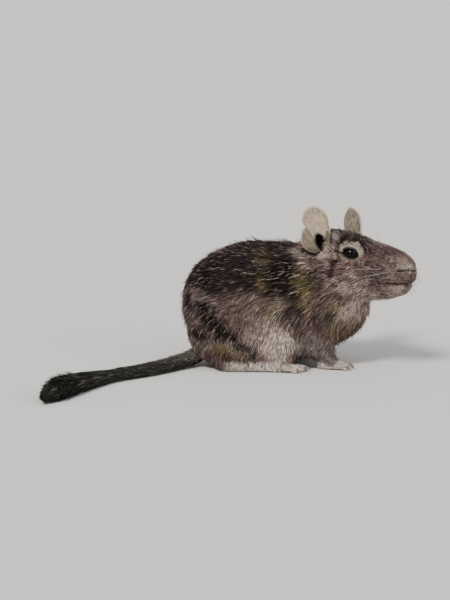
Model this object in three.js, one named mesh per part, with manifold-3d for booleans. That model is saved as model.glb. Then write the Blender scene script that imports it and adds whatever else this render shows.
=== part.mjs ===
// A life-size degu, crouched, with its head turned to its right and its bushy tail laid along the floor.
// Millimetres, +X forward, +Y to its left, +Z up. The surfaces lie at the tips of the short coat.
import * as THREE from 'three';
import { LoftGeometry } from 'three/addons/geometries/LoftGeometry.js';
import { mergeVertices } from 'three/addons/utils/BufferGeometryUtils.js';
import Module from 'manifold-3d';

const wasm = await Module();
wasm.setup();

// Driving dimensions
const GAP = 0.3; // clearance between neighbouring pieces
const BELLY_CLEARANCE = 2.6; // the belly's height over the floor
const TRUNK_BLEND = 3.2; // how softly the masses of the trunk run together
const HEAD_BLEND = 1.5; // the same for the head
const LIMB_BLEND = 2.2; // the same for the limbs
const HEAD_AT = [36.5, -5, 53.5]; // middle of the skull, between the ears
const HEAD_TURN = { yaw: -32, pitch: -8, roll: -7 }; // degrees: to its right, nose down, right side up
const MUZZLE_CENTRE = 35; // from the middle of the skull to the middle of the muzzle's end
const EYE_AT = [12.6, 9.9, 5.3]; // forward, outward and up from the middle of the skull
const EYE_RADIUS = 4.5;
const EYE_OPENING = { long: 4.1, high: 2.75 }; // half its length and half its height
const EAR_AT = [-2.4, 15.4, 7.4]; // the middle of the ear's cup, as EYE_AT
const EAR_TALL = [-0.16, 0.22, 0.95]; // the way that the ear stands: forward, outward and up
const EAR_FACING = [0.5, 0.86, 0.05]; // the way that its cup opens
const EAR_CUP = { depth: 6, wide: 3.1, high: 4.6 };
const EAR_THICKNESS = [1.2, 0.75]; // at the cup and at the rim
const EAR_LEAF = 1.4; // how far forward the leaf lies round its cup
// Round the rim of an ear from its lowest point, up its front edge, over the tip and down its rear edge: how
// far to the rear of the cup's middle, how far up, how far forward, and how far forward the leaf is halfway.
const EAR_RIM = [
  [-0.2, -4.7, 0.4, 1.6], [-2.7, -3.8, 1.2, 1.8], [-4.2, -1.2, 2.4, 2], [-4.6, 3, 3.1, 1.6],
  [-5, 7.5, 3, 0.6], [-4.6, 11.6, 2.3, 0], [-4, 14.8, 1.4, -0.4], [-1.2, 17.5, 0.3, -0.6],
  [2.8, 18.9, -0.4, -0.6], [6.3, 17.4, 0, -0.4], [8.1, 13.9, 1, 0], [8.2, 11.2, 1.6, 0.4],
  [7.2, 9.6, 2.2, 1.2], [8.6, 7, 1.9, 3], [9.2, 3.4, 1.6, 3.6], [8.5, -0.2, 1.3, 3.6],
  [6.3, -2.9, 0.9, 3.2], [3, -4.4, 0.5, 2.4],
];
const TAIL_HALF_WIDTH = [4.6, 4.2, 3.8, 3.6, 3.6, 3.2, 2.2]; // from the rump to the tip, with its coat
const TAIL_HALF_HEIGHT = [4.6, 4.2, 3.7, 3.5, 3.5, 3.1, 2.1];
const TAIL_CUTS = [0.33, 0.6]; // where the tail is parted, as shares of its length
const BRUSH_LOCKS = 40;
const BRUSH_LOCK_LENGTH = 16;

// How finely each surface is divided
const SPINE_SIDES = 28;
const LIMB_SIDES = 10;
const TOE_SIDES = 6;

const SIDES = { right: -1, left: 1 };

const v3 = (x, y, z) => new THREE.Vector3(x, y, z);
const point = (p) => v3(...p);
const lerp = THREE.MathUtils.lerp;
const smooth = (t) => THREE.MathUtils.smoothstep(t, 0, 1);

// A repeatable draw from 0 to 1.
let seed = 20240817;
function draw() {
  seed = (seed * 1664525 + 1013904223) % 4294967296;
  return seed / 4294967296;
}

// A turn by yaw about +Z, pitch with the nose up, and roll, in degrees, then a move to a point.
function pose(at, { yaw = 0, pitch = 0, roll = 0 } = {}) {
  const rad = THREE.MathUtils.degToRad;
  const euler = new THREE.Euler(rad(roll), rad(-pitch), rad(yaw), 'ZYX');
  return new THREE.Matrix4().makeRotationFromEuler(euler).setPosition(...at);
}

const HEAD = pose(HEAD_AT, HEAD_TURN);
const onHead = (forward, outward, up, side = 1) => v3(forward, side * outward, up).applyMatrix4(HEAD);

// Masses and fields

// One rounded mass: an ellipsoid in its own turned frame, which may sit in the head's frame.
function mass(at, radii, turn = {}, frame = new THREE.Matrix4()) {
  return { into: frame.clone().multiply(pose(at, turn)).invert(), radii: point(radii) };
}

// A mass and its mirror image, on the animal's right and left.
function pair([x, y, z], radii, { yaw = 0, pitch = 0, roll = 0 } = {}, frame = undefined) {
  return [-1, 1].map((side) =>
    mass([x, side * y, z], radii, { yaw: side * yaw, pitch, roll: side * roll }, frame));
}

// About how far a point lies outside a mass.
function outside(m, p) {
  const q = p.clone().applyMatrix4(m.into);
  const scaled = q.clone().divide(m.radii);
  const steep = scaled.clone().divide(m.radii).length();
  const size = scaled.length();
  return steep < 1e-9 ? -Math.min(m.radii.x, m.radii.y, m.radii.z) : (size * (size - 1)) / steep;
}

// Masses run together: below 0 inside, above 0 outside.
function blend(masses, softness) {
  return (p) =>
    -softness * Math.log(masses.reduce((sum, m) => sum + Math.exp(-outside(m, p) / softness), 0));
}

// Fields run together.
function join(softness, ...fields) {
  return (p) => -softness * Math.log(fields.reduce((sum, f) => sum + Math.exp(-f(p) / softness), 0));
}

// The underside of a field kept softly over a height.
function above(height, softness, field) {
  return (p) => softness * Math.log(Math.exp(field(p) / softness) + Math.exp((height - p.z) / softness));
}

const trunkField = blend(
  [
    mass([-13, 0, 30.5], [27, 22, 27.5]), // rump
    mass([0, 0, 33], [27, 22.5, 26.5]), // belly and loins
    mass([20, -1, 31], [25, 18.5, 24.5]), // rib cage
    mass([19, -1, 44], [17, 13, 13], { pitch: -8 }), // withers
    mass([37, -6, 31], [14, 13, 17], { pitch: 25 }), // front of the chest
    ...pair([22, 10, 26], [15, 9.5, 18]), // shoulders
  ],
  TRUNK_BLEND,
);

const neckField = blend(
  [
    mass([28, -3, 46], [14, 14, 14.5], { yaw: -12, pitch: 20 }), // nape
    mass([39, -8, 38], [13.5, 14, 14.5], { yaw: -20 }), // ruff of the throat
  ],
  TRUNK_BLEND,
);

const skullField = blend(
  [
    mass([-1, 0, 0.5], [15, 12.5, 13.2], {}, HEAD), // back of the skull
    mass([11, 0, 3.2], [15, 10.6, 10.6], {}, HEAD), // brow
    mass([25, 0, 3.2], [15.5, 7.4, 9.6], { pitch: -3 }, HEAD), // bridge of the nose
    mass([MUZZLE_CENTRE, 0, 2.8], [7.9, 5.6, 7], {}, HEAD), // end of the muzzle
    mass([24.5, 0, -7.9], [14.8, 5.8, 5.7], { pitch: 8 }, HEAD), // lower jaw
    mass([MUZZLE_CENTRE + 0.2, 0, -5.6], [6.3, 4.2, 4], { pitch: 6 }, HEAD), // chin
    mass([2, 0, -8], [14, 9, 8.5], {}, HEAD), // throat under the jaw
    ...pair([7, 6.4, -3.5], [13, 7.4, 10.5], { yaw: 8 }, HEAD), // cheeks
    ...pair([17, 5.4, -3.8], [12, 5.8, 8], { yaw: -8 }, HEAD), // jowls
    ...pair([MUZZLE_CENTRE - 1, 3.5, -0.6], [7.4, 4.3, 4.6], { yaw: -8 }, HEAD), // whisker pads
    ...pair(EYE_AT, [7.4, 3.6, 5.9], { yaw: -10 }, HEAD), // round the eyes
    ...pair([-2.5, 10.6, 5], [6.5, 5.6, 6.5], {}, HEAD), // round the roots of the ears
  ],
  HEAD_BLEND,
);

const bodyField = above(BELLY_CLEARANCE, 1.5, join(TRUNK_BLEND, trunkField, neckField, skullField));

// Solids

// A closed geometry as a solid, with its shared corners merged.
function solid(geometry) {
  const bare = new THREE.BufferGeometry();
  bare.setAttribute('position', geometry.attributes.position);
  bare.setIndex(geometry.index);
  const merged = mergeVertices(bare, 1e-4);
  const triVerts = new Uint32Array(merged.index.array);
  const kept = [];
  for (let i = 0; i < triVerts.length; i += 3) {
    const [a, b, c] = triVerts.subarray(i, i + 3);
    if (a !== b && b !== c && c !== a) kept.push(a, b, c);
  }
  const vertProperties = merged.attributes.position.array;
  return new wasm.Manifold(
    new wasm.Mesh({ numProp: 3, vertProperties, triVerts: new Uint32Array(kept) }));
}

const loft = (sections) => solid(new LoftGeometry(sections, { capStart: true, capEnd: true }));
const union = (solids) => solids.reduce((whole, piece) => whole.add(piece));

// The largest closed surface of a solid.
function largest(whole) {
  const bodies = whole.decompose();
  return bodies.reduce((a, b) => (b.volume() > a.volume() ? b : a));
}

// A named mesh of a solid.
function mesh(name, whole, material) {
  const { numProp, vertProperties, triVerts } = whole.getMesh();
  const geometry = new THREE.BufferGeometry();
  const buffer = new THREE.InterleavedBuffer(vertProperties, numProp);
  geometry.setAttribute('position', new THREE.InterleavedBufferAttribute(buffer, 3, 0));
  geometry.setIndex(new THREE.BufferAttribute(triVerts, 1));
  const made = new THREE.Mesh(geometry.toNonIndexed(), material);
  made.geometry.computeVertexNormals();
  made.name = name;
  return made;
}

// Where a ray from inside a field reaches a level of it, found by strides and then by halving.
function castRay(field, level, from, along) {
  const STRIDE = 1.5;
  const HALVINGS = 20;
  const inside = (distance) => field(from.clone().addScaledVector(along, distance)) < level;
  let near = 0;
  let far = STRIDE;
  while (inside(far)) {
    near = far;
    far += STRIDE;
  }
  for (let i = 0; i < HALVINGS; i++) {
    const middle = (near + far) / 2;
    if (inside(middle)) near = middle;
    else far = middle;
  }
  return from.clone().addScaledVector(along, near);
}

// One ring of rays from a frame's middle, which lean from its plane by a slope, backward or forward.
function castRing(field, level, frame, sides, slope = 0) {
  const forward = frame.forward.clone().multiplyScalar(Math.sin(slope));
  return Array.from({ length: sides }, (_, i) => {
    const turn = (i / sides) * 2 * Math.PI;
    const along = frame.left.clone().multiplyScalar(Math.cos(turn) * Math.cos(slope))
      .addScaledVector(frame.up, Math.sin(turn) * Math.cos(slope))
      .add(forward);
    return castRay(field, level, frame.at, along.normalize());
  });
}

// Slopes of the rings that round off an end, from just off the pole to just off the middle.
function endSlopes(rings) {
  const pole = 0.94;
  return Array.from({ length: rings }, (_, i) => (Math.PI / 2) * pole * (1 - i / rings));
}

const frameOf = (matrix) => ({
  at: v3().setFromMatrixPosition(matrix),
  forward: v3().setFromMatrixColumn(matrix, 0),
  left: v3().setFromMatrixColumn(matrix, 1),
  up: v3().setFromMatrixColumn(matrix, 2),
});

// A closed mass seen from a point inside it.
function castBall(field, level, frame, sides, rings) {
  const slopes = endSlopes(rings);
  const all = [...slopes.map((s) => -s), 0, ...slopes.reverse()];
  return loft(all.map((slope) => castRing(field, level, frame, sides, slope)));
}

// The trunk, neck and head, along one bent line

const SPINE = [
  { at: [-17, 0, 31], yaw: 0, pitch: 4 },
  { at: [3, 0, 32], yaw: 0, pitch: 8 },
  { at: [18, -1, 37], yaw: -5, pitch: 20 },
  { at: [28, -3, 44], yaw: -15, pitch: 34 },
  { at: onHead(2, 0, 0).toArray(), yaw: HEAD_TURN.yaw + 4, pitch: 34 },
  { at: onHead(19, 0, 0).toArray(), yaw: HEAD_TURN.yaw, pitch: 6 },
  { at: onHead(MUZZLE_CENTRE, 0, -1).toArray(), yaw: HEAD_TURN.yaw, pitch: HEAD_TURN.pitch },
];
const spineLine = new THREE.CatmullRomCurve3(SPINE.map(({ at }) => point(at)));
const spineTurn = new THREE.CatmullRomCurve3(SPINE.map(({ yaw, pitch }) => v3(yaw, pitch, 0)));
const NECK_FROM = 0.43;
const HEAD_FROM = 0.6;

// The frame of the body's section at a share of the spine, moved forward by a shift.
function spineFrame(share, shift = 0) {
  const { x: yaw, y: pitch } = spineTurn.getPoint(share);
  const frame = frameOf(pose(spineLine.getPoint(share).toArray(), { yaw, pitch }));
  frame.at.addScaledVector(frame.forward, shift);
  return frame;
}

// The sections of one length of the body, which may start or end in a rounded pole.
function bodySections(from, to, rings, { shift = 0, tail = 0, nose = 0 } = {}) {
  const at = (share, move = 0, slope = 0) =>
    castRing(bodyField, 0, spineFrame(share, move), SPINE_SIDES, slope);
  const sections = endSlopes(tail).map((slope) => at(from, 0, -slope));
  for (let i = 0; i <= rings; i++) {
    sections.push(at(lerp(from, to, i / rings), shift * (1 - i / rings)));
  }
  return [...sections, ...endSlopes(nose).reverse().map((slope) => at(to, 0, slope))];
}

// Swept limbs, tails, toes, claws and locks

// Sizes spread evenly along a line, as a function of the share of its length.
function spread(sizes) {
  if (sizes.length === 1) return () => sizes[0];
  const curve = new THREE.CatmullRomCurve3(sizes.map((size) => v3(size, 0, 0)));
  return (share) => curve.getPoint(share).x;
}

// How much of its full size a rounded end leaves to a ring at a distance from the end: a quarter circle.
function rounding(distance, size) {
  const SMALLEST = 0.14;
  const inward = Math.min(1, distance / size);
  return Math.max(SMALLEST, Math.sqrt(1 - (1 - inward) ** 2));
}

// A rod along a line. Its half-widths and half-heights are spread along it, each end is rounded or flat,
// and a grown rod is larger all round.
function rod(points, halfWidths, halfHeights, options = {}) {
  const { sides = LIMB_SIDES, rings = 8, span = [0, 1], round = [true, true], grow = 0 } = options;
  const { up = v3(0, 0, 1) } = options;
  const line = new THREE.CatmullRomCurve3(points);
  const length = line.getLength();
  const [wide, high] = [spread(halfWidths), spread(halfHeights)];
  const sections = [];
  for (let i = 0; i <= rings; i++) {
    // The rings crowd towards the rounded ends.
    const even = i / rings;
    let share = even;
    if (round[1]) share = round[0] ? (1 - Math.cos(Math.PI * even)) / 2 : Math.sin((Math.PI / 2) * even);
    const t = lerp(span[0], span[1], share);
    const [width, height] = [wide(t) + grow, high(t) + grow];
    const fromStart = (t - span[0]) * length + grow;
    const fromEnd = (span[1] - t) * length + grow;
    const startSize = round[0] ? rounding(fromStart, width) : 1;
    const endSize = round[1] ? rounding(fromEnd, width) : 1;
    const size = Math.min(startSize, endSize);
    const along = line.getTangent(t);
    const aside = v3().crossVectors(up, along).normalize();
    const over = v3().crossVectors(along, aside);
    const middle = line.getPoint(t);
    if (i === 0) middle.addScaledVector(along, -grow);
    if (i === rings) middle.addScaledVector(along, grow);
    sections.push(Array.from({ length: sides }, (_, k) => {
      const turn = (k / sides) * 2 * Math.PI;
      return middle.clone()
        .addScaledVector(aside, Math.cos(turn) * width * size)
        .addScaledVector(over, Math.sin(turn) * height * size);
    }));
  }
  return loft(sections);
}

// Everything under the floor.
const underFloor = (() => {
  const slab = new THREE.BoxGeometry(400, 400, 40);
  slab.translate(0, 0, -20);
  return solid(slab);
})();
const onFloor = (whole) => largest(whole.subtract(underFloor));

// Head

function eye(side, grow = 0) {
  const ball = new THREE.SphereGeometry(EYE_RADIUS + grow, 14, 9);
  const [forward, outward, up] = EYE_AT;
  ball.applyMatrix4(new THREE.Matrix4().setPosition(onHead(forward, outward, up, side)));
  return solid(ball);
}

// The lids: a shell round the eye, which an almond-shaped opening is cut through.
function lids(side) {
  const LID_THICKNESS = 0.8;
  return eye(side, LID_THICKNESS);
}
function lidOpening(side) {
  const CORNERS = 16;
  const DRAWN_OUT = 0.1;
  const almond = new THREE.Shape(Array.from({ length: CORNERS }, (_, i) => {
    const turn = (i / CORNERS) * 2 * Math.PI;
    // The corners are drawn out a little.
    const long = EYE_OPENING.long * Math.cos(turn) * (1 + DRAWN_OUT * Math.cos(turn) ** 6);
    return new THREE.Vector2(long, EYE_OPENING.high * Math.sin(turn));
  }));
  const through = new THREE.ExtrudeGeometry(almond, { depth: 9, bevelEnabled: false });
  // The opening faces outward, a little forward and up.
  const facing = v3(0.3, side, 0.16).normalize();
  const along = v3(side, 0, 0).addScaledVector(facing, -facing.x * side).normalize();
  const across = v3().crossVectors(facing, along);
  const place = new THREE.Matrix4().makeBasis(along, across, facing);
  const [forward, outward, up] = EYE_AT;
  place.setPosition(v3(forward, side * outward, up));
  through.applyMatrix4(place);
  through.applyMatrix4(HEAD);
  return solid(through);
}

// A point of an ear: a share of the way from the cup's middle to one point of the rim, and a distance behind
// the leaf's inside. Halfway out the leaf has its own place, and the cup sinks it near the middle.
function earPoint(side, rim, reach, over) {
  const CUP_FROM = 1.22; // the cup's wall starts this far out, in its own half-sizes
  const CUP_TO = 0.35;
  const WIDENING = 0.35; // how much wider the outside is, for each millimetre behind the inside
  const LEAF_FROM = 0.5; // the leaf has its own place beyond this share
  const axis = ([forward, outward, up]) => v3(forward, side * outward, up);
  const tall = axis(EAR_TALL).normalize();
  const facing = axis(EAR_FACING);
  facing.addScaledVector(tall, -facing.dot(tall)).normalize();
  const behind = v3().crossVectors(tall, facing).multiplyScalar(side);
  const [rimRear, rimHigh, rimForward, leafForward] = rim;
  const rear = rimRear * reach;
  const high = rimHigh * reach;
  const inward = Math.hypot(rear / EAR_CUP.wide, high / EAR_CUP.high);
  const cup = EAR_CUP.depth * (1 - smooth((inward - CUP_TO) / (CUP_FROM - CUP_TO)));
  const leaf = lerp(EAR_LEAF, leafForward, smooth(reach / LEAF_FROM));
  const forward = lerp(leaf, rimForward, reach ** 3) - cup - over;
  const wider = 1 + (WIDENING * over) / Math.max(EAR_CUP.wide, Math.hypot(rear, high));
  return axis(EAR_AT)
    .addScaledVector(behind, rear * wider)
    .addScaledVector(tall, high * wider)
    .addScaledVector(facing, forward)
    .applyMatrix4(HEAD);
}

// A closed ear from its rings, each with its reach and how far it is behind the leaf's inside. The first and
// the last are single points.
function earShell(side, rings) {
  const sections = rings.map(([reach, over]) => EAR_RIM.map((rim) => earPoint(side, rim, reach, over)));
  if (side < 0) sections.forEach((ring) => ring.reverse());
  return solid(new LoftGeometry(sections));
}

const EAR_REACHES = [0, 0.12, 0.25, 0.42, 0.68, 1];
const earThickness = (reach) => lerp(...EAR_THICKNESS, Math.min(1, reach) ** 3);

// The cupped leaf: rings run over its inside to the rim, and back over its outside.
function ear(side) {
  const inside = EAR_REACHES.map((reach) => [reach, 0]);
  const outside = EAR_REACHES.map((reach) => [reach, earThickness(reach)]).reverse();
  return earShell(side, [...inside, ...outside]);
}

// Its pocket: the outside grown by the clearance, and a lid in front, so that none of the head stays in it.
function earPocket(side) {
  const RIM_GROWTH = 0.06; // of the reach, which keeps clear of the rim
  const LID = [[0, -9.5], [0.35, -6], [0.7, -2.6]];
  const rim = 1 + RIM_GROWTH;
  const outside = EAR_REACHES.map((reach) => [reach < 1 ? reach : rim, earThickness(reach) + GAP]).reverse();
  return earShell(side, [...LID, [rim, -GAP], ...outside]);
}

// The bare tip of the nose, with a slit of a nostril on each side.
const NOSE_AT = [MUZZLE_CENTRE + 6.2, 0, 3.4];
function nosePad(grow = 0) {
  const ball = new THREE.SphereGeometry(1, 12, 8);
  ball.scale(2.6 + grow, 3.1 + grow, 2.5 + grow);
  ball.translate(...NOSE_AT);
  ball.applyMatrix4(HEAD);
  return solid(ball);
}
function nostril(side) {
  const [forward, , up] = NOSE_AT;
  const slit = [[1.9, 1.2, -0.5], [1.1, 2.5, 0.1], [-0.3, 3.4, 0.9]];
  const points = slit.map(([f, o, u]) => onHead(forward + f, o, up + u, side));
  return rod(points, [0.42, 0.62, 0.3], [0.7, 0.6, 0.4], { sides: 6, rings: 4 });
}

// The line of the mouth: a thin arched blade that enters from the front, and the cleft over it.
function mouthLine() {
  const BLADE = 0.55;
  const REACH = 11.5;
  const line = [[-8, -5], [-5, -3.6], [-2.4, -2.6], [0, -2], [2.4, -2.6], [5, -3.6], [8, -5]];
  const outline = new THREE.Shape([
    ...line.map(([y, z]) => new THREE.Vector2(y, z + BLADE / 2)),
    ...line.map(([y, z]) => new THREE.Vector2(y, z - BLADE / 2)).reverse(),
  ]);
  const blade = new THREE.ExtrudeGeometry(outline, { depth: REACH + 8, bevelEnabled: false });
  // The outline's x and y become the head's left and up, and its depth the head's forward.
  blade.applyMatrix4(new THREE.Matrix4().makeBasis(v3(0, 1, 0), v3(0, 0, 1), v3(1, 0, 0)));
  blade.translate(MUZZLE_CENTRE + 8.5 - REACH, 0, 0);
  blade.applyMatrix4(HEAD);
  return solid(blade);
}
function lipCleft() {
  const points = [[8.4, 0, 1.6], [8.4, 0, 0], [8, 0, -2.2]].map(([f, o, u]) =>
    onHead(MUZZLE_CENTRE + f, o, u));
  return rod(points, [0.4], [0.9], { sides: 6, rings: 4, up: v3(1, 0, 0) });
}

// Limbs. Each is built at its own size, or grown by the clearance to cut its neighbours' pockets.

const haunchField = (side) => blend(
  [
    mass([-17, side * 14.5, 19.5], [20, 10.5, 18.5], { yaw: side * 4, pitch: 10 }), // ham
    mass([-4, side * 17, 17], [17, 9.2, 13.5], { yaw: side * -4, pitch: -16 }), // thigh
    mass([9, side * 18, 12], [8, 6.4, 8.5]), // knee
  ],
  LIMB_BLEND,
);
const upperArmField = (side) => blend(
  [
    mass([24, side * 12.5 - 1, 25], [10.5, 7.6, 14], { pitch: -24 }),
    mass([22, side * 14 - 1, 16], [7.2, 5.6, 7.5]), // elbow
  ],
  LIMB_BLEND,
);
const STEP_BACK = { '-1': 0, 1: 9 }; // the left hand stands further back than the right

const limbs = {
  shank: (side, grow) => {
    const points = [[7, 19.6, 9.5], [-4, 20.4, 7.4], [-15, 19.6, 5]].map(([x, y, z]) => v3(x, side * y, z));
    return rod(points, [5, 4.8, 4], [6, 5.4, 4.2], { rings: 7, grow });
  },
  thigh: (side, grow) =>
    castBall(haunchField(side), grow, frameOf(pose([-9, side * 15.5, 18])), 18, 5),
  hind_foot: (side, grow) => foot({
    heel: [-17.5, 19.2, 3.6], arch: [-3, 19.8, 3], ball: [9.5, 20, 2.6],
    halfWidths: [3.6, 3.8, 4.3], halfHeights: [4.2, 3.4, 3],
    toes: [
      { from: 0.2, out: -3.6, length: 7.5, splay: -20 },
      { from: 0.9, out: -1.9, length: 10.4, splay: -7 },
      { from: 1, out: 0.2, length: 11.4, splay: 1 },
      { from: 0.9, out: 2.2, length: 10.2, splay: 9 },
      { from: 0, out: 3.7, length: 8, splay: 22 },
    ],
    toeRadius: 1.45, clawLength: 3, side, grow,
  }),
  upper_arm: (side, grow) =>
    castBall(upperArmField(side), grow, frameOf(pose([23, side * 13 - 1, 22])), 12, 3),
  forearm: (side, grow) => {
    const back = STEP_BACK[side];
    const elbow = v3(23 - back / 3, side * 14.2 - 1, 16);
    const middle = v3(28 - back / 1.5, side * 14.4 - 1, 11.5);
    const wrist = v3(33 - back, side * 14 - 1, 4.6);
    return rod([elbow, middle, wrist], [5.8, 5, 3.5], [5.8, 5, 3.5],
      { rings: 7, grow, up: v3(1, 0, 0.4) });
  },
  forefoot: (side, grow) => {
    const back = STEP_BACK[side];
    return foot({
      heel: [30 - back, 14.1, 2.4], arch: [33 - back, 14, 2.4], ball: [36.2 - back, 13.9, 2.1],
      halfWidths: [3, 3.3, 3.6], halfHeights: [2.9, 2.8, 2.5],
      toes: [
        { from: 0, out: -3, length: 5.6, splay: -24 },
        { from: 0.8, out: -1.1, length: 7.2, splay: -7 },
        { from: 0.8, out: 1, length: 7.3, splay: 6 },
        { from: 0.1, out: 3, length: 6, splay: 22 },
      ],
      toeRadius: 1.2, clawLength: 2.2, aside: -1, side, grow,
    });
  },
};

// A foot with its toes and claws, flat on the floor.
function foot(sizes) {
  const { heel, arch, ball, halfWidths, halfHeights, toes, toeRadius, clawLength } = sizes;
  const { side, grow, aside = 0 } = sizes;
  const place = ([x, y, z]) => v3(x, side * y + aside, z);
  const sole = rod([heel, arch, ball].map(place), halfWidths, halfHeights, { rings: 7, grow });
  const digits = toes.flatMap(({ from, out, length, splay }) => {
    const turn = THREE.MathUtils.degToRad(splay);
    const reach = (along, z) => {
      const start = place(ball);
      return v3(start.x + from + along * Math.cos(turn), start.y + side * (out + along * Math.sin(turn)), z);
    };
    const tip = length - toeRadius;
    const toe = rod(
      [reach(-2.5, toeRadius * 1.65), reach(tip * 0.4, toeRadius * 1.45), reach(tip, toeRadius * 0.8)],
      [toeRadius], [toeRadius * 1.15, toeRadius, toeRadius * 0.95], { sides: TOE_SIDES, rings: 4, grow });
    const claw = rod(
      [reach(tip - 0.4, 1.6), reach(tip + clawLength * 0.5, 1.5), reach(tip + clawLength, 0.5)],
      [0.55, 0.45, 0.16], [0.75, 0.55, 0.2], { sides: 4, rings: 2, grow, round: [false, false] });
    return [toe, claw];
  });
  return onFloor(union([sole, ...digits]));
}

// Tail

const tailPoints = [
  [-27, -3, 8], [-37, -12, 4.4], [-54, -30, 3.4], [-72, -45, 3.2], [-85, -62, 3.8], [-94, -77, 4.2],
  [-98, -86, 3.8],
];
const tailLine = new THREE.CatmullRomCurve3(tailPoints.map(point));
const tailGap = GAP / tailLine.getLength();

function tailLength(from, to, options = {}) {
  return rod(tailPoints.map(point), TAIL_HALF_WIDTH, TAIL_HALF_HEIGHT,
    { sides: 12, span: [from, to], ...options });
}

// The black brush: bristly locks along the last third of the tail, which lean out, bend back along it
// and overlap.
function tailBrush(from) {
  const LOCK_WIDTH = 1.6;
  const LOCK_THICKNESS = 0.55;
  const FLOOR_HEIGHT = 0.75;
  const ROOT_OUT = 1.2; // from the middle of the tail to a lock's root
  const GOLDEN_ANGLE = 2.39996; // it spreads the locks evenly round the tail
  const core = tailLength(from, 1, { rings: 8, round: [false, true], sides: 10 });
  const locks = Array.from({ length: BRUSH_LOCKS }, (_, i) => {
    const share = (i + 0.5 * draw()) / BRUSH_LOCKS;
    const along = lerp(from + 0.02, 0.96, share);
    const turn = i * GOLDEN_ANGLE + 0.5 * draw();
    const out = tailLine.getTangent(along);
    const side = v3().crossVectors(v3(0, 0, 1), out).normalize();
    const over = v3().crossVectors(out, side);
    const away = side.clone().multiplyScalar(Math.cos(turn)).addScaledVector(over, Math.sin(turn));
    const length = BRUSH_LOCK_LENGTH * lerp(0.8, 1.12, draw()) * (1 - 0.4 * share);
    const splay = lerp(0.3, 0.44, draw());
    const root = tailLine.getPoint(along).addScaledVector(away, ROOT_OUT);
    const points = [0, 0.35, 0.7, 1].map((reach) => {
      const p = root.clone().addScaledVector(out, reach * length)
        .addScaledVector(away, splay * length * (reach - 0.42 * reach * reach));
      return v3(p.x, p.y, Math.max(FLOOR_HEIGHT - 0.3 * reach, p.z));
    });
    const flat = Math.abs(away.z) > 0.5 ? v3(0, 0, 1) : away;
    return rod(points, [LOCK_WIDTH, LOCK_WIDTH, LOCK_WIDTH * 0.7, 0.15],
      [LOCK_THICKNESS, LOCK_THICKNESS, LOCK_THICKNESS * 0.8, 0.12],
      { sides: 4, rings: 3, round: [false, false], up: flat });
  });
  return onFloor(union([core, ...locks]));
}

// Colours, from the painted animal
const paint = (color, roughness) => new THREE.MeshStandardMaterial({ color, roughness, metalness: 0 });
const BACK = paint('#4a3a3a', 0.9);
const FLANK = paint('#75655d', 0.9);
const FACE = paint('#7d6a66', 0.9);
const NAPE = paint('#8a7a4c', 0.9);
const EAR = paint('#a89c8e', 0.8);
const EYE = paint('#0b0b0c', 0.15);
const NOSE = paint('#8d6f6c', 0.6);
const FOOT = paint('#c9c3c2', 0.85);
const BRUSH = paint('#31363a', 0.9);

const degu = new THREE.Group();
const pieces = new Map(); // name: { whole, pocket }

for (const [name, side] of Object.entries(SIDES)) {
  pieces.set(`${name}_eye`, { whole: eye(side), pocket: eye(side, GAP), material: EYE });
  pieces.set(`${name}_ear`, { whole: ear(side), pocket: earPocket(side), material: EAR });
}
const nostrils = union(Object.values(SIDES).map(nostril));
pieces.set('nose', { whole: nosePad().subtract(nostrils), pocket: nosePad(GAP), material: NOSE });

const looks = {
  hind_foot: FOOT, shank: FLANK, thigh: BACK, forefoot: FOOT, forearm: FLANK, upper_arm: FLANK,
};
for (const limb of Object.keys(looks)) {
  for (const [name, side] of Object.entries(SIDES)) {
    const [whole, pocket] = [0, GAP].map((grow) => limbs[limb](side, grow));
    pieces.set(`${name}_${limb}`, { whole, pocket, material: looks[limb] });
  }
}

const [cutOne, cutTwo] = TAIL_CUTS;
pieces.set('tail_root', {
  whole: tailLength(0, cutOne, { rings: 9, round: [true, false] }),
  pocket: tailLength(0, cutOne, { rings: 9, round: [true, false], grow: GAP }),
  material: BRUSH,
});
pieces.set('tail_middle', {
  whole: tailLength(cutOne + tailGap, cutTwo, { rings: 6, round: [false, false] }), material: BRUSH });
pieces.set('tail_brush', { whole: tailBrush(cutTwo + tailGap), material: BRUSH });

const head = union([
  loft(bodySections(HEAD_FROM, 1, 15, { shift: GAP, nose: 5 })),
  ...Object.values(SIDES).map(lids),
]);
const openings = union([mouthLine(), lipCleft(), ...Object.values(SIDES).map(lidOpening)]);
pieces.set('head', { whole: head.subtract(openings), material: FACE });
pieces.set('neck', { whole: loft(bodySections(NECK_FROM, HEAD_FROM, 5, { shift: GAP })), material: NAPE });
pieces.set('torso', { whole: loft(bodySections(0, NECK_FROM, 10, { tail: 5 })), material: BACK });

// Each piece keeps clear of those before it, whose pockets are cut from it.
const placed = [];
for (const [name, { whole, pocket, material }] of pieces) {
  let kept = whole;
  for (const before of placed) kept = kept.subtract(before);
  if (pocket) placed.push(pocket);
  degu.add(mesh(name, onFloor(kept), material));
}

// The origin is on the floor, under the middle of the whole animal.
const bounds = new THREE.Box3().setFromObject(degu);
const middle = bounds.getCenter(v3());
degu.position.set(-middle.x, -middle.y, -bounds.min.z);

export default degu;
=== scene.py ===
"""A life-size degu, crouched with its head turned to its right: its skin, coat, eyes, ears, claws and
whiskers.

Shapes are worked out in millimetres on the animal's own axes, +X forward, +Y to its left, +Z up, and are
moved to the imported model's place when they become meshes.
"""

import math

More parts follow.
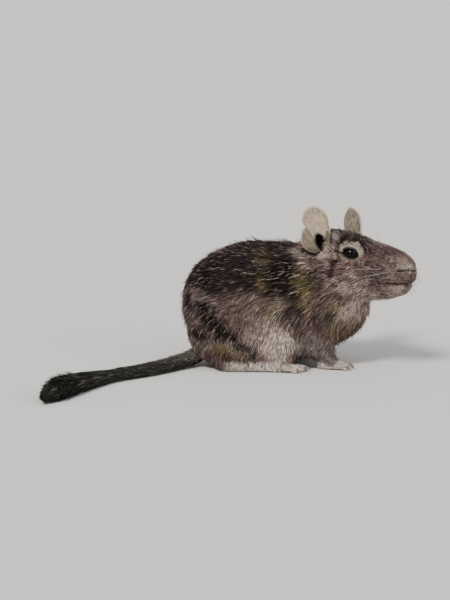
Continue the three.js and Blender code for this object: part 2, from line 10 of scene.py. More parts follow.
import bpy
import numpy as np
import openvdb
from mathutils import Matrix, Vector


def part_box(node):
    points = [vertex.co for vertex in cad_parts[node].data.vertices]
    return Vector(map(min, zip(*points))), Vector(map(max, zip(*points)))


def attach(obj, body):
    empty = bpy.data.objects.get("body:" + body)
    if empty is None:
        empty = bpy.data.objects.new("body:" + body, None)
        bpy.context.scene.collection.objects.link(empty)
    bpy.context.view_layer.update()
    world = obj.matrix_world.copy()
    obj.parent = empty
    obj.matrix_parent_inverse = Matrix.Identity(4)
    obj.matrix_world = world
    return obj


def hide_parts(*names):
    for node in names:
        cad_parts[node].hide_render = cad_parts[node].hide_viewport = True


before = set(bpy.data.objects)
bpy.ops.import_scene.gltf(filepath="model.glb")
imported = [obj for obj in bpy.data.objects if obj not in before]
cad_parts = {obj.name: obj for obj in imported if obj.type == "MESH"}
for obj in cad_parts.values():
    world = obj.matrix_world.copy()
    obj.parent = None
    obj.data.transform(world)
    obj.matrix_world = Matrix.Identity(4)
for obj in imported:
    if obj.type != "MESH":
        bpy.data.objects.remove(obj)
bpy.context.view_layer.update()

MM = 0.001
SIDES = {"right": -1, "left": 1}
rng = np.random.default_rng(7)

# Driving sizes, the same as the solids', in millimetres and degrees
HEAD_AT = np.array([36.5, -5.0, 53.5])
HEAD_TURN = dict(yaw=-32, pitch=-8, roll=-7)
MUZZLE_CENTRE = 35.0  # how far in front of HEAD_AT the middle of the muzzle's end is
EYE_AT = (12.6, 9.9, 5.3)
EYE_RADIUS = 4.5
EYE_OPENING = (4.1, 2.75)  # half its length and half its height
EYE_FACING = (0.3, 1.0, 0.16)  # of the left one
LID = 0.7  # how thick the lids are over the eye, and how softly they run into the face
EAR_AT = (-2.4, 15.4, 7.4)  # the middle of its cup
EAR_TALL = (-0.16, 0.22, 0.95)
EAR_FACING = (0.5, 0.86, 0.05)
EAR_CUP = (6.0, 2.9, 5.4)  # its depth, and how wide and how high it is from its middle
CUP_MIDDLE = (-0.7, -0.4)  # of its mouth, to the rear and up from EAR_AT
CUP_LEAN = 0.34  # how far it leans to the rear for each millimetre up
EAR_LEAF = 1.4  # how far forward the leaf lies round its cup
EAR_REACH = 24.0  # no point of an ear is further than this from its middle, along any axis
NOSE_AT = (MUZZLE_CENTRE + 6.2, 0.0, 3.4)
MOUTH_LINE = (-2.0, 3.0)  # how high it is at the front, and how far it falls 8 mm out from there
LIP_GROOVE = 0.6  # half the width of the grooves of the mouth and of the cleft over it
CLEFT_DEPTH = 0.7
NOSTRIL_LINE = [(43.4, 4.6), (41.0, 3.5), (37.6, 2.5)]  # forward and up, from the front of the nose back
NOSTRIL_LINE_DEPTH = 0.45
# Round the rim of an ear from its lowest point, up its front edge, over the tip and down its rear edge: how
# far to the rear of EAR_AT, how far up, and how far forward are the rim and the leaf halfway to it.
EAR_RIM = [
    (-0.2, -4.7, 0.4, 1.6), (-2.7, -3.8, 1.2, 1.8), (-4.2, -1.2, 2.4, 2.0), (-4.6, 3.0, 3.1, 1.6),
    (-5.0, 7.5, 3.0, 0.6), (-4.6, 11.6, 2.3, 0.0), (-4.0, 14.8, 1.4, -0.4), (-1.2, 17.5, 0.3, -0.6),
    (2.8, 18.9, -0.4, -0.6), (6.3, 17.4, 0.0, -0.4), (8.1, 13.9, 1.0, 0.0), (8.2, 11.2, 1.6, 0.4),
    (7.2, 9.6, 2.2, 1.2), (8.6, 7.0, 1.9, 3.0), (9.2, 3.4, 1.6, 3.6), (8.5, -0.2, 1.3, 3.6),
    (6.3, -2.9, 0.9, 3.2), (3.0, -4.4, 0.5, 2.4),
]
STEP_BACK = {-1: 0.0, 1: 9.0}  # the left hand stands further back than the right
BELLY_CLEARANCE = 2.6  # how high the belly stays above the floor
# How softly forms run together
BELLY_BLEND = 1.5
TRUNK_BLEND = 3.2
HEAD_BLEND = 1.5
LIMB_BLEND = 2.2
FOOT_BLEND = 0.6
TAIL_POINTS = [
    (-27, -3, 8), (-37, -12, 4.4), (-54, -30, 3.4), (-72, -45, 3.2), (-85, -62, 3.8), (-94, -77, 4.2),
    (-98, -86, 3.8),
]
TAIL_RADII = [4.6, 4.2, 3.7, 3.5, 3.5, 3.1, 2.1]  # with its coat
TAIL_COAT = 1.2  # how deep its coat is

# How deep the rest of the coat is, from the skin to its tips. The head's two are at the cheeks and at the end
# of the muzzle.
DEPTH = dict(trunk=3.0, neck=3.4, head=(1.7, 0.45), haunch=2.4, arm=1.6, shank=1.2, foot=0.25)
# How high above the floor the skin and the coat end
SKIN_FLOOR = 0.12
HAIR_FLOOR = 0.25

# How the skin's surface is found
SKIN_BOX = np.array([-41.0, -34.0, -1.0]), np.array([79.0, 31.0, 69.0])
VOXEL = 0.56
BLOCK = 4  # voxels along each side of a block
FLAT_QUAD = 1e-5  # twice the least area of a quad that is kept, in voxels squared
FIELD_OUTSIDE = 25.0  # what a field is where it is not worked out
FAR_AWAY = 1e3  # more than the distance of any point from any line


# Turns, masses and fields


def turn(yaw=0.0, pitch=0.0, roll=0.0):
    """The axes as columns, turned by roll about X, then by pitch with the nose up, then by yaw about Z. All
    are in degrees."""
    a, b, c = (math.radians(v) for v in (yaw, -pitch, roll))
    about_z = np.array([[math.cos(a), -math.sin(a), 0], [math.sin(a), math.cos(a), 0], [0, 0, 1]])
    about_y = np.array([[math.cos(b), 0, math.sin(b)], [0, 1, 0], [-math.sin(b), 0, math.cos(b)]])
    about_x = np.array([[1, 0, 0], [0, math.cos(c), -math.sin(c)], [0, math.sin(c), math.cos(c)]])
    return about_z @ about_y @ about_x


HEAD_AXES = turn(**HEAD_TURN)


def on_head(forward, outward, up, side=1):
    """The points that lie forward, outward and up from the middle of the skull. Whole arrays may be given."""
    local = np.stack(np.broadcast_arrays(forward, side * np.asarray(outward, float), up), -1).astype(float)
    return HEAD_AT + local @ HEAD_AXES.T


def in_head(p):
    """Points as forward, left and up from the middle of the skull."""
    return (p - HEAD_AT) @ HEAD_AXES


def mass(at, radii, yaw=0.0, pitch=0.0, roll=0.0, head=False):
    """An ellipsoid: its centre, its axes and its radii. On the head, its place and turn are the head's."""
    axes = turn(yaw, pitch, roll)
    if head:
        return on_head(*at), HEAD_AXES @ axes, np.array(radii, float)
    return np.array(at, float), axes, np.array(radii, float)


def pair(at, radii, yaw=0.0, pitch=0.0, head=False):
    """An ellipsoid on the right and its mirror image on the left."""
    return [mass((at[0], s * at[1], at[2]), radii, s * yaw, pitch, 0.0, head) for s in SIDES.values()]


def outside(one, p):
    """About how far points lie outside an ellipsoid: size times (size less 1) over the steepness of size."""
    centre, axes, radii = one
    scaled = ((p - centre) @ axes) / radii
    size = np.sqrt((scaled**2).sum(-1))
    steep = np.sqrt(((scaled / radii) ** 2).sum(-1)) + 1e-9
    return size * (size - 1) / steep


def soft_union(fields, softness):
    """Fields run together: minus the softness times the logarithm of the sum of exp(-field / softness)."""
    total = sum(np.exp(np.clip(-f / softness, -60, 60)) for f in fields)
    return -softness * np.log(total)


def smooth(value, low, high):
    """0 below low, 1 above high, and a smooth S between them. High may be the smaller one."""
    t = np.clip((value - low) / (high - low), 0, 1)
    return t * t * (3 - 2 * t)


def patch(x, z, at, sizes, lean=0.0, soft=0.5):
    """A soft oval on the flank, seen from the side: 1 inside, 0 outside. Its lean is in degrees, forward and
    up."""
    a = math.radians(lean)
    dx, dz = x - at[0], z - at[1]
    along = (dx * math.cos(a) + dz * math.sin(a)) / sizes[0]
    across = (-dx * math.sin(a) + dz * math.cos(a)) / sizes[1]
    return smooth(np.hypot(along, across), 1 + soft, 1 - soft)


def stroke(x, z, points, half_width, soft=0.5):
    """A soft line through points on the flank, seen from the side: 1 on it, 0 away from it."""
    best = np.full(len(x), FAR_AWAY)
    for (ax, az), (bx, bz) in zip(points[:-1], points[1:]):
        dx, dz = bx - ax, bz - az
        t = np.clip(((x - ax) * dx + (z - az) * dz) / (dx * dx + dz * dz), 0, 1)
        best = np.minimum(best, np.hypot(x - ax - t * dx, z - az - t * dz))
    return smooth(best / half_width, 1 + soft, 1 - soft)


def curve(points, shares):
    """A centripetal Catmull-Rom curve through points, at shares from 0 to 1, of which each span has an equal
    part."""
    pts = np.asarray(points, float)
    pts = np.concatenate([[2 * pts[0] - pts[1]], pts, [2 * pts[-1] - pts[-2]]])
    along = np.clip(np.asarray(shares, float), 0, 1) * (len(pts) - 3)
    span = np.minimum(along.astype(int), len(pts) - 4)
    w = (along - span)[:, None]
    a, b, c, d = (pts[span + i] for i in range(4))
    ends = ((a, b), (b, c), (c, d))
    gap = [np.sqrt(np.linalg.norm(q - p, axis=1, keepdims=True)).clip(1e-4) for p, q in ends]
    start = ((b - a) / gap[0] - (c - a) / (gap[0] + gap[1]) + (c - b) / gap[1]) * gap[1]
    end = ((c - b) / gap[1] - (d - b) / (gap[1] + gap[2]) + (d - c) / gap[2]) * gap[1]
    return b + start * w + (-3 * b + 3 * c - 2 * start - end) * w**2 + (2 * b - 2 * c + start + end) * w**3


def rod_distance(p, points, widths, heights, steps=7):
    """How far points lie outside a rod along a curve: the distance to its nearest length, with the height
    stretched to the width, less the half-width there."""
    shares = np.linspace(0, 1, steps)
    line = curve(points, shares)
    wide = curve([[w, 0, 0] for w in widths], shares)[:, 0]
    high = curve([[h, 0, 0] for h in heights], shares)[:, 0]
    best = np.full(len(p), FAR_AWAY)
    for i in range(steps - 1):
        d = line[i + 1] - line[i]
        t = np.clip(((p - line[i]) @ d) / (d @ d), 0, 1)
        width = wide[i] + (wide[i + 1] - wide[i]) * t
        height = high[i] + (high[i + 1] - high[i]) * t
        off = p - line[i] - t[:, None] * d
        reach = np.sqrt(off[:, 0] ** 2 + off[:, 1] ** 2 + (off[:, 2] * width / height) ** 2)
        best = np.minimum(best, reach - width)
    return best


# The ears' leaves


def ear_rim(around):
    """The rim as one closed curve, at turns from 0 to 1: to the rear, up, forward, and forward halfway."""
    points = np.array(EAR_RIM[-2:] + EAR_RIM + EAR_RIM[:3])
    shares = (2 + np.mod(around, 1.0) * len(EAR_RIM)) / (len(points) - 1)
    return np.concatenate([curve(points[:, :3], shares), curve(points[:, 1:], shares)[:, 2:]], 1)


RIM = ear_rim(np.arange(360) / 360)
RIM_ANGLE = np.arctan2(RIM[:, 1], RIM[:, 0])


def ear_axes(side):
    """An ear's own axes as rows: to its rear, up it and out of its cup."""
    tall, facing = (np.array(axis) * [1, side, 1] for axis in (EAR_TALL, EAR_FACING))
    tall /= np.linalg.norm(tall)
    facing -= (facing @ tall) * tall
    facing /= np.linalg.norm(facing)
    return np.stack([side * np.cross(tall, facing), tall, facing]) @ HEAD_AXES.T


EARS = {side: (on_head(*EAR_AT, side), ear_axes(side)) for side in SIDES.values()}


def ear_lobe(rear, high):
    """How far a place is on the lobe at the rear of a leaf, from the crease that runs up from the cup to the
    notch."""
    return np.minimum(0.86 * (rear - 2.0) - 0.51 * (high - 1.5), 8.2 - high)


def ear_crease_shade(rear, high):
    """Painted shade along the crease in front of the lobe: 1 on it, and exp(-(distance / 0.8) squared) beside
    it.
    """
    return np.exp(-((ear_lobe(rear, high) / 0.8) ** 2))


def ear_leaf(rear, high):
    """At a place on a leaf, the share of the way out to the rim, how far forward the inside lies, and how
    much of the cup's depth it has. Forward is the mean of the leaf's and the rim's places, weighted by the
    cube of the share, less the cup, with ribs up the leaf and an edge that rolls forward."""
    angle = np.arctan2(high, rear)
    far = np.hypot(rear, high)
    size = np.interp(angle, RIM_ANGLE, np.hypot(RIM[:, 0], RIM[:, 1]), period=2 * math.pi)
    rim, halfway = (np.interp(angle, RIM_ANGLE, RIM[:, k], period=2 * math.pi) for k in (2, 3))
    share = far / size
    depth, wide, tall = EAR_CUP
    cup = np.hypot((rear - CUP_MIDDLE[0] - CUP_LEAN * high) / wide, (high - CUP_MIDDLE[1]) / tall)
    cup = smooth(cup, 1.25, 0.25)
    leaf = EAR_LEAF + (halfway - EAR_LEAF) * smooth(share, 0, 0.5)
    ribs = 0.3 * np.sin(1.7 * rear) * smooth(high, 6, 11) * smooth(share, 1.0, 0.8)
    lobe = 0.9 * smooth(ear_lobe(rear, high), -0.2, 1.4) * smooth(share, 1.0, 0.7)
    edge = 0.4 * smooth(share, 0.84, 0.97)
    inside = leaf + (rim - leaf) * np.minimum(share, 1) ** 3 - depth * cup + ribs + lobe + edge
    return share, inside, cup


def ear_thickness(share):
    """The leaf's thickness: 1 mm at the cup, and 0.45 mm at the rim."""
    return 1.0 - 0.55 * np.clip(share, 0, 1) ** 3


def ear_surface(side, rear, high, over):
    """Points that lie over millimetres behind the inside of a leaf, which is a little wider there."""
    rear, high, over = np.broadcast_arrays(rear, high, over)
    wider = 1 + 0.35 * over / np.hypot(rear, high).clip(3)
    middle, axes = EARS[side]
    return middle + np.stack([rear * wider, high * wider, ear_leaf(rear, high)[1] - over], -1) @ axes


def ear_gaps(p):
    """How far points lie in front of the middle of the nearer ear's leaf, and how far within its rim."""
    front = np.full(len(p), -FIELD_OUTSIDE)
    within = np.full(len(p), -FIELD_OUTSIDE)
    for middle, axes in EARS.values():
        near = (np.abs(p - middle) < EAR_REACH).all(1)
        rear, high, forward = ((p[near] - middle) @ axes.T).T
        share, leaf, cup = ear_leaf(rear, high)
        one_front = forward - leaf + 0.5 + 0.6 * smooth(cup, 0.0, 0.25)
        one_within = (0.97 - share) * np.hypot(rear, high) / share.clip(1e-3)
        nearer = np.minimum(one_front, one_within) > np.minimum(front[near], within[near])
        front[near] = np.where(nearer, one_front, front[near])
        within[near] = np.where(nearer, one_within, within[near])
    return front, within


def in_ears(p):
    """How far points lie in front of the middle of an ear's leaf and within its rim, and below 0
    elsewhere."""
    return np.minimum(*ear_gaps(p))


# The animal's masses, in the order of the solids

TRUNK = [
    mass((-13, 0, 30.5), (27, 22, 27.5)),  # rump
    mass((0, 0, 33), (27, 22.5, 26.5)),  # belly and loins
    mass((20, -1, 31), (25, 18.5, 24.5)),  # rib cage
    mass((19, -1, 44), (17, 13, 13), pitch=-8),  # withers
    mass((37, -6, 31), (14, 13, 17), pitch=25),  # front of the chest
    *pair((22, 10, 26), (15, 9.5, 18)),  # shoulders
]
NECK = [
    mass((28, -3, 46), (14, 14, 14.5), yaw=-12, pitch=20),  # nape
    mass((39, -8, 38), (13.5, 14, 14.5), yaw=-20),  # ruff of the throat
]
SKULL = [
    mass((-1, 0, 0.5), (15, 12.5, 13.2), head=True),  # back of the skull
    mass((11, 0, 3.2), (15, 10.6, 10.6), head=True),  # brow
    mass((25, 0, 3.2), (15.5, 7.4, 9.6), pitch=-3, head=True),  # bridge of the nose
    mass((MUZZLE_CENTRE, 0, 2.8), (7.9, 5.6, 7.0), head=True),  # end of the muzzle
    mass((24.5, 0, -7.9), (14.8, 5.8, 5.7), pitch=8, head=True),  # lower jaw
    mass((MUZZLE_CENTRE + 0.2, 0, -5.6), (6.3, 4.2, 4.0), pitch=6, head=True),  # chin
    mass((2, 0, -8), (14, 9, 8.5), head=True),  # throat under the jaw
    *pair((7, 6.4, -3.5), (13, 7.4, 10.5), yaw=8, head=True),  # cheeks
    *pair((17, 5.4, -3.8), (12, 5.8, 8), yaw=-8, head=True),  # jowls
    *pair((MUZZLE_CENTRE - 1, 3.5, -0.6), (7.4, 4.3, 4.6), yaw=-8, head=True),  # whisker pads
    *pair(EYE_AT, (7.4, 3.6, 5.9), yaw=-10, head=True),  # round the eyes
    *pair((-2.5, 10.6, 5), (6.5, 5.6, 6.5), head=True),  # round the roots of the ears
]
HAUNCHES = [
    *pair((-17, 14.5, 19.5), (20, 10.5, 18.5), yaw=4, pitch=10),  # ham
    *pair((-4, 17, 17), (17, 9.2, 13.5), yaw=-4, pitch=-16),  # thigh
    *pair((9, 18, 12), (8, 6.4, 8.5)),  # knee
]
UPPER_ARMS = [
    one
    for s in SIDES.values()
    for one in (
        mass((24, s * 12.5 - 1, 25), (10.5, 7.6, 14), pitch=-24),
        mass((22, s * 14 - 1, 16), (7.2, 5.6, 7.5)),  # elbow
    )
]
# How far in front of the ball of the foot and how far outward each toe starts, its length and its splay
HIND_TOES = [
    (0.2, -3.6, 7.5, -20), (0.9, -1.9, 10.4, -7), (1, 0.2, 11.4, 1), (0.9, 2.2, 10.2, 9), (0, 3.7, 8, 22),
]
FORE_TOES = [(0, -3, 5.6, -24), (0.8, -1.1, 7.2, -7), (0.8, 1, 7.3, 6), (0.1, 3, 6, 22)]


def hind_limb(side):
    """The shank and the foot of a hind leg: its rods, each with its half-widths and half-heights, its toes,
    and the sizes of a toe and of a claw."""
    shank = [(7, side * 19.6, 9.5), (-4, side * 20.4, 7.4), (-15, side * 19.6, 5)]
    sole = [(-17.5, side * 19.2, 3.6), (-3, side * 19.8, 3), (9.5, side * 20, 2.6)]
    return dict(
        side=side, toes=HIND_TOES, toe=1.45, claw=3.0,
        shank=(shank, [5, 4.8, 4], [6, 5.4, 4.2]),
        sole=(sole, [3.6, 3.8, 4.3], [4.2, 3.4, 3]),
    )


def fore_limb(side):
    """The forearm and the hand of a front leg, in the same way."""
    back = STEP_BACK[side]
    forearm = [
        (23 - back / 3, side * 14.2 - 1, 16),
        (28 - back / 1.5, side * 14.4 - 1, 11.5),
        (33 - back, side * 14 - 1, 4.6),
    ]
    sole = [
        (30 - back, side * 14.1 - 1, 2.4),
        (33 - back, side * 14 - 1, 2.4),
        (36.2 - back, side * 13.9 - 1, 2.1),
    ]
    return dict(
        side=side, toes=FORE_TOES, toe=1.2, claw=2.2,
        shank=(forearm, [5.8, 5, 3.5], [5.8, 5, 3.5]),
        sole=(sole, [3, 3.3, 3.6], [2.9, 2.8, 2.5]),
    )


LIMBS = {
    "right_hind": hind_limb(-1),
    "left_hind": hind_limb(1),
    "right_fore": fore_limb(-1),
    "left_fore": fore_limb(1),
}
# The boxes in which the fields of the feet and of five other parts are worked out
for limb in LIMBS.values():
    sole = np.array(limb["sole"][0])
    limb["box"] = sole.min(0) - [8, 10, 9], sole.max(0) + [18, 10, 8]
BOXES = {
    "neck": [(5, -60, 5), (80, 60, 90)],
    "head": [(10, -60, 15), (99, 60, 90)],
    "haunch": [(-60, -60, -9), (27, 60, 50)],
    "arm": [(5, -60, -9), (45, 60, 50)],
    "shank": [(-30, -60, -9), (45, 60, 28)],
}


def toe_line(limb, start, out, length, splay):
    """A toe's three points, from the ball of the foot to its tip, and its direction along the floor."""
    ball = np.array(limb["sole"][0][2], float)
    angle = math.radians(splay)
    ahead = np.array([math.cos(angle), limb["side"] * math.sin(angle), 0])
    root = np.array([ball[0] + start, ball[1] + limb["side"] * out, 0])
    tip = length - limb["toe"]
    heights = np.array([1.65, 1.5, 0.85]) * limb["toe"]
    reach = np.array([-2.5, 0.45 * tip, tip])
    return root + reach[:, None] * ahead + heights[:, None] * [0, 0, 1], ahead


def foot_field(p, limb):
    """A foot: its sole and its toes run together."""
    rods = [rod_distance(p, *limb["sole"])]
    for toe in limb["toes"]:
        line, _ = toe_line(limb, *toe)
        size = limb["toe"]
        rods.append(rod_distance(p, line, [size * 0.9, size * 0.86, size * 0.9], [size] * 3, 4))
    return soft_union(rods, FOOT_BLEND)


def near_only(p, low, high, field):
    """A field that is worked out only in a box, to save time, and has one value outside it."""
    values = np.full(len(p), FIELD_OUTSIDE)
    near = ((p > low) & (p < high)).all(1)
    if near.any():
        values[near] = field(p[near])
    return values


def parts(p):
    """The field of each part of the body, at the tips of the coat."""
    union = lambda masses, softness: lambda q: soft_union([outside(m, q) for m in masses], softness)
    shanks = lambda q: soft_union([rod_distance(q, *limb["shank"], 5) for limb in LIMBS.values()], LIMB_BLEND)
    feet = [near_only(p, *limb["box"], lambda q: foot_field(q, limb)) for limb in LIMBS.values()]
    return {
        "trunk": union(TRUNK, TRUNK_BLEND)(p),
        "neck": near_only(p, *BOXES["neck"], union(NECK, TRUNK_BLEND)),
        "head": near_only(p, *BOXES["head"], union(SKULL, HEAD_BLEND)),
        "haunch": near_only(p, *BOXES["haunch"], union(HAUNCHES, LIMB_BLEND)),
        "arm": near_only(p, *BOXES["arm"], union(UPPER_ARMS, LIMB_BLEND)),
        "shank": near_only(p, *BOXES["shank"], shanks),
        "foot": np.min(feet, 0),
    }


def part_weights(fields, names, softness):
    """The weight of each part at points: exp(-field / softness)."""
    return {name: np.exp(np.clip(-fields[name] / softness, -40, 40)) for name in names}


def by_part(p, fields, table, softness=1.2, cheek=2.0):
    """A size at points: the mean of the parts' sizes, each weighted by exp(-field / softness). The head's
    runs from its first value, as far forward as the cheek, to its second, at the end of the muzzle."""
    forward = in_head(p)[:, 0]
    back, nose = table["head"]
    sizes = dict(table, head=back + (nose - back) * smooth(forward, cheek, MUZZLE_CENTRE))
    weights = part_weights(fields, sizes, softness)
    return sum(w * sizes[name] for name, w in weights.items()) / sum(weights.values())


def eye_frame(side):
    """The middle of an eye, and its axes: along the lids, across them and outward."""
    facing = np.array(EYE_FACING) * [1, side, 1]
    facing /= np.linalg.norm(facing)
    along = np.array([side, 0, 0]) - facing[0] * side * facing
    along /= np.linalg.norm(along)
    across = np.cross(facing, along)
    return on_head(*EYE_AT, side), HEAD_AXES @ np.stack([along, across, facing], 1)


def eye_corner(p):
    """1 along the bare dark line that runs back and a little down from the rear corner of each eye, else
    0."""
    line = np.zeros(len(p))
    for side in SIDES.values():
        middle, axes = eye_frame(side)
        q = (p - middle) @ axes
        rear = -side * q[:, 0]
        below = np.abs(q[:, 1] - 0.5 - 0.1 * (rear - 4))
        along = smooth(rear, 3.0, 3.6) * smooth(rear, 7.6, 6.8)
        line += along * smooth(below, 0.85, 0.4) * smooth(q[:, 2], -7, -3.5)
    return line


def above_mouth(local):
    """How far points of the head lie above the line of the mouth."""
    return local[:, 2] - MOUTH_LINE[0] + MOUTH_LINE[1] * (np.abs(local[:, 1]) / 8) ** 1.3


def nostril_line(local):
    """The line that runs back from each nostril: 1 on it, and 0 away from it."""
    return stroke(local[:, 0], local[:, 2], NOSTRIL_LINE, 0.5) * smooth(np.abs(local[:, 1]), 0.6, 1.6)


def face_forms(p, field):
    """The lids, the mouth, the lines from the nostrils and the cleft of the lip, worked into the field of the
    skin. Each lid is a ball round the eye, cut open by an almond, and the others are soft grooves."""
    for side in SIDES.values():
        middle, axes = eye_frame(side)
        q = (p - middle) @ axes
        ball = np.linalg.norm(q, axis=1)
        field = soft_union([field, ball - (EYE_RADIUS + LID)], LID)
        almond = (np.hypot(q[:, 0] / EYE_OPENING[0], q[:, 1] / EYE_OPENING[1]) - 1) * EYE_OPENING[1]
        field = np.maximum(field, -np.maximum(almond, -q[:, 2]))
    local = in_head(p)
    forward, left, up = local.T
    mouth = np.exp(-((above_mouth(local) / LIP_GROOVE) ** 2)) * smooth(forward, 31, 35)
    field = field + mouth + NOSTRIL_LINE_DEPTH * nostril_line(local)
    low = MOUTH_LINE[0]
    cleft = smooth(forward, 40, 42) * smooth(up, low - 0.8, low + 0.2) * smooth(up, 2.6, 1.2)
    return field + CLEFT_DEPTH * np.exp(-((left / LIP_GROOVE) ** 2)) * cleft


def coat_field(p):
    """How far points lie outside the tips of the coat, and how deep it is there."""
    fields = parts(p)
    body = soft_union([fields["trunk"], fields["neck"], fields["head"]], TRUNK_BLEND)
    body = BELLY_BLEND * np.logaddexp(body / BELLY_BLEND, (BELLY_CLEARANCE - p[:, 2]) / BELLY_BLEND)
    limbs = soft_union([body, fields["haunch"], fields["arm"], fields["shank"]], LIMB_BLEND)
    depth = by_part(p, fields, DEPTH, softness=1.5, cheek=6.0)
    return soft_union([limbs, fields["foot"]], FOOT_BLEND), depth


def skin_field(p):
    """How far points lie outside the skin, which is cut away in front of the ears and flat on the floor."""
    field, depth = coat_field(p)
    return np.max([face_forms(p, field + depth), SKIN_FLOOR - p[:, 2], in_ears(p)], 0)


def gradient(field, p, step=0.15):
    """The unit direction in which a field grows, from its differences along each axis."""
    slope = np.stack([field(p + step * axis) - field(p - step * axis) for axis in np.eye(3)], 1)
    return slope / np.linalg.norm(slope, axis=1, keepdims=True).clip(1e-6)


def surface(field, low, high, voxel):
    """The zero level of a field in a box, as corners and quads. Blocks of voxels whose middle is far from the
    level keep one value, and only the others are worked out in full. Quads without area are left out."""
    block = BLOCK * voxel
    counts = np.ceil((np.array(high) - low) / block).astype(int)
    index = np.stack(np.meshgrid(*(np.arange(n) for n in counts), indexing="ij"), -1).reshape(-1, 3)
    middles = low + (index + 0.5) * block - voxel / 2
    coarse = np.concatenate([field(part) for part in np.array_split(middles, 8)])
    near = np.abs(coarse) < 1.7 * block
    inner = np.stack(np.meshgrid(*[np.arange(BLOCK)] * 3, indexing="ij"), -1).reshape(-1, 3)
    blocks = np.repeat(coarse[:, None], BLOCK**3, 1)
    points = (low + index[near][:, None] * block + inner * voxel).reshape(-1, 3)
    fine = np.concatenate([field(part) for part in np.array_split(points, 16)])
    blocks[near] = fine.reshape(-1, BLOCK**3)
    values = blocks.reshape(*counts, BLOCK, BLOCK, BLOCK).transpose(0, 3, 1, 4, 2, 5)
    values = values.reshape(*(BLOCK * counts))
    grid = openvdb.FloatGrid(background=float(block))
    grid.copyFromArray(values.astype(np.float32))
    corners, quads = grid.convertToQuads(isovalue=0.0)
    a, b, c, d = (corners[quads[:, k]] for k in range(4))
    area = np.linalg.norm(np.cross(c - a, d - b), axis=1)
    return corners * voxel + low, quads[area > FLAT_QUAD]


# Meshes


SHIFT = np.mean(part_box("right_eye"), 0) / MM - on_head(*EYE_AT, -1)


def to_frame(p):
    """Millimetres on the animal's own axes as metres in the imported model's frame."""
    return (np.asarray(p, float) + SHIFT) * MM


def make_mesh(name, corners, faces, values=None, uv=None):
    """A smooth mesh from arrays: corners, faces as arrays of equal-sided polygons, values as named numbers or
    vectors on the corners, and uv as one pair for each corner of each face."""
    mesh = bpy.data.meshes.new(name)
    faces = [np.asarray(f, np.int32) for f in faces if len(f)]
    loops = np.concatenate([f.ravel() for f in faces])
    sizes = np.concatenate([np.full(len(f), f.shape[1], np.int32) for f in faces])
    mesh.vertices.add(len(corners))
    mesh.vertices.foreach_set("co", to_frame(corners).astype(np.float32).ravel())
    mesh.loops.add(len(loops))
    mesh.loops.foreach_set("vertex_index", loops)
    mesh.polygons.add(len(sizes))
    mesh.polygons.foreach_set("loop_start", np.concatenate([[0], np.cumsum(sizes)[:-1]]).astype(np.int32))
    mesh.polygons.foreach_set("use_smooth", np.ones(len(sizes), bool))
    for key, value in (values or {}).items():
        value = np.asarray(value, np.float32)
        kind, entry = ("FLOAT_VECTOR", "vector") if value.ndim == 2 else ("FLOAT", "value")
        mesh.attributes.new(key, kind, "POINT").data.foreach_set(entry, value.ravel())
    if uv is not None:
        mesh.uv_layers.new(name="OFBake").data.foreach_set("uv", uv[loops].astype(np.float32).ravel())
    mesh.update(calc_edges=True)
    piece = bpy.data.objects.new(name, mesh)
    bpy.context.scene.collection.objects.link(piece)
    return piece


def ring_of(count):
    """The corners round a ring by number, and the one after each."""
    ring = np.arange(count)
    return ring, (ring + 1) % count


def grid_faces(rows, columns):
    """Quads of a grid of corners laid row by row, whose last column joins the first."""
    row, ring = (v.ravel() for v in np.meshgrid(np.arange(rows - 1), np.arange(columns), indexing="ij"))
    after = (ring + 1) % columns
    here, over = row * columns, (row + 1) * columns
    return np.stack([here + ring, here + after, over + after, over + ring], 1)


def fan(hub, first, second):
    """Triangles from one corner to each pair of a first and a second."""
    return np.stack([np.full(len(first), hub), first, second], 1)


# Noise


CELLS = 32
LATTICE = rng.random((CELLS, CELLS, CELLS))


def noise(p, size, seed=0):
    """Smooth noise from 0 to 1: random values on a lattice, size millimetres apart, mixed by smooth
    weights."""
    q = np.asarray(p) / size + seed * 7.31
    base = np.floor(q).astype(int)
    f = q - base
    f = f * f * (3 - 2 * f)
    total = np.zeros(len(q))
    for corner in np.ndindex(2, 2, 2):
        weight = np.prod(np.where(corner, f, 1 - f), axis=1)
        cell = (base + corner) % CELLS
        total += weight * LATTICE[cell[:, 0], cell[:, 1], cell[:, 2]]
    return total


# Markings, as shares of dark, pale and ochre. The dark share also holds painted shade: a band down from the
# rump, and folds, grooves and hollows on the face.


# Ovals on the flanks: forward and up, half-sizes, lean and strength
DARK_PATCHES = [
    ((8, 45), (11, 8), 0, 0.3),  # loins
    ((14, 31), (9, 5), 70, 0.5),  # behind the shoulder
    ((-33, 45), (10, 7), 50, 0.25),  # rump
    ((-30, 19), (4, 2.6), 0, 0.6),  # rear of the ham
    ((-18, 8), (3, 1.6), 0, 0.55),  # heel
    ((-6, 7), (7, 1.9), 0, 0.5),  # over the hind foot
    ((23, 42), (4, 8), -10, 0.2),  # shoulder
    ((28, 24), (4, 8), 20, 0.15),  # upper arm
    ((-11, 33), (10, 6.5), 8, -0.12),  # lighter over the thigh
    ((-27, 28), (3.5, 3), 0, 0.1),  # ham
    ((27, 41), (6, 9), 0, -0.4),  # lighter on the side of the neck
]
PALE_PATCHES = [
    ((9, 12), (9, 8), 60, 0.62),  # belly
    ((-15, 13), (6, 2.5), -30, 0.3),  # low on the ham
    ((3, 17), (10, 11), 60, 0.3),  # knee
    ((-2, 24), (9, 8), 50, 0.2),  # thigh
    ((-29, 13), (6, 4), 20, 0.18),  # rear of the ham
    ((21.5, 57), (6, 5), 0, 0.42),  # nape
    ((47, 31), (9, 6), 10, 0.52),  # throat
    ((30, 12), (7, 7), 0, 0.1),  # forearm
    ((-32, 37), (3, 4), 30, 0.16),  # rump
    ((6, 31), (5, 4), 60, 0.2),  # flank
    ((38, 25), (6, 9), 0, 0.16),  # chest
    ((18, 60), (6, 2.5), 0, 0.1),  # top of the nape
    ((55, 28), (4, 4), 0, 0.3),  # front of the throat
]
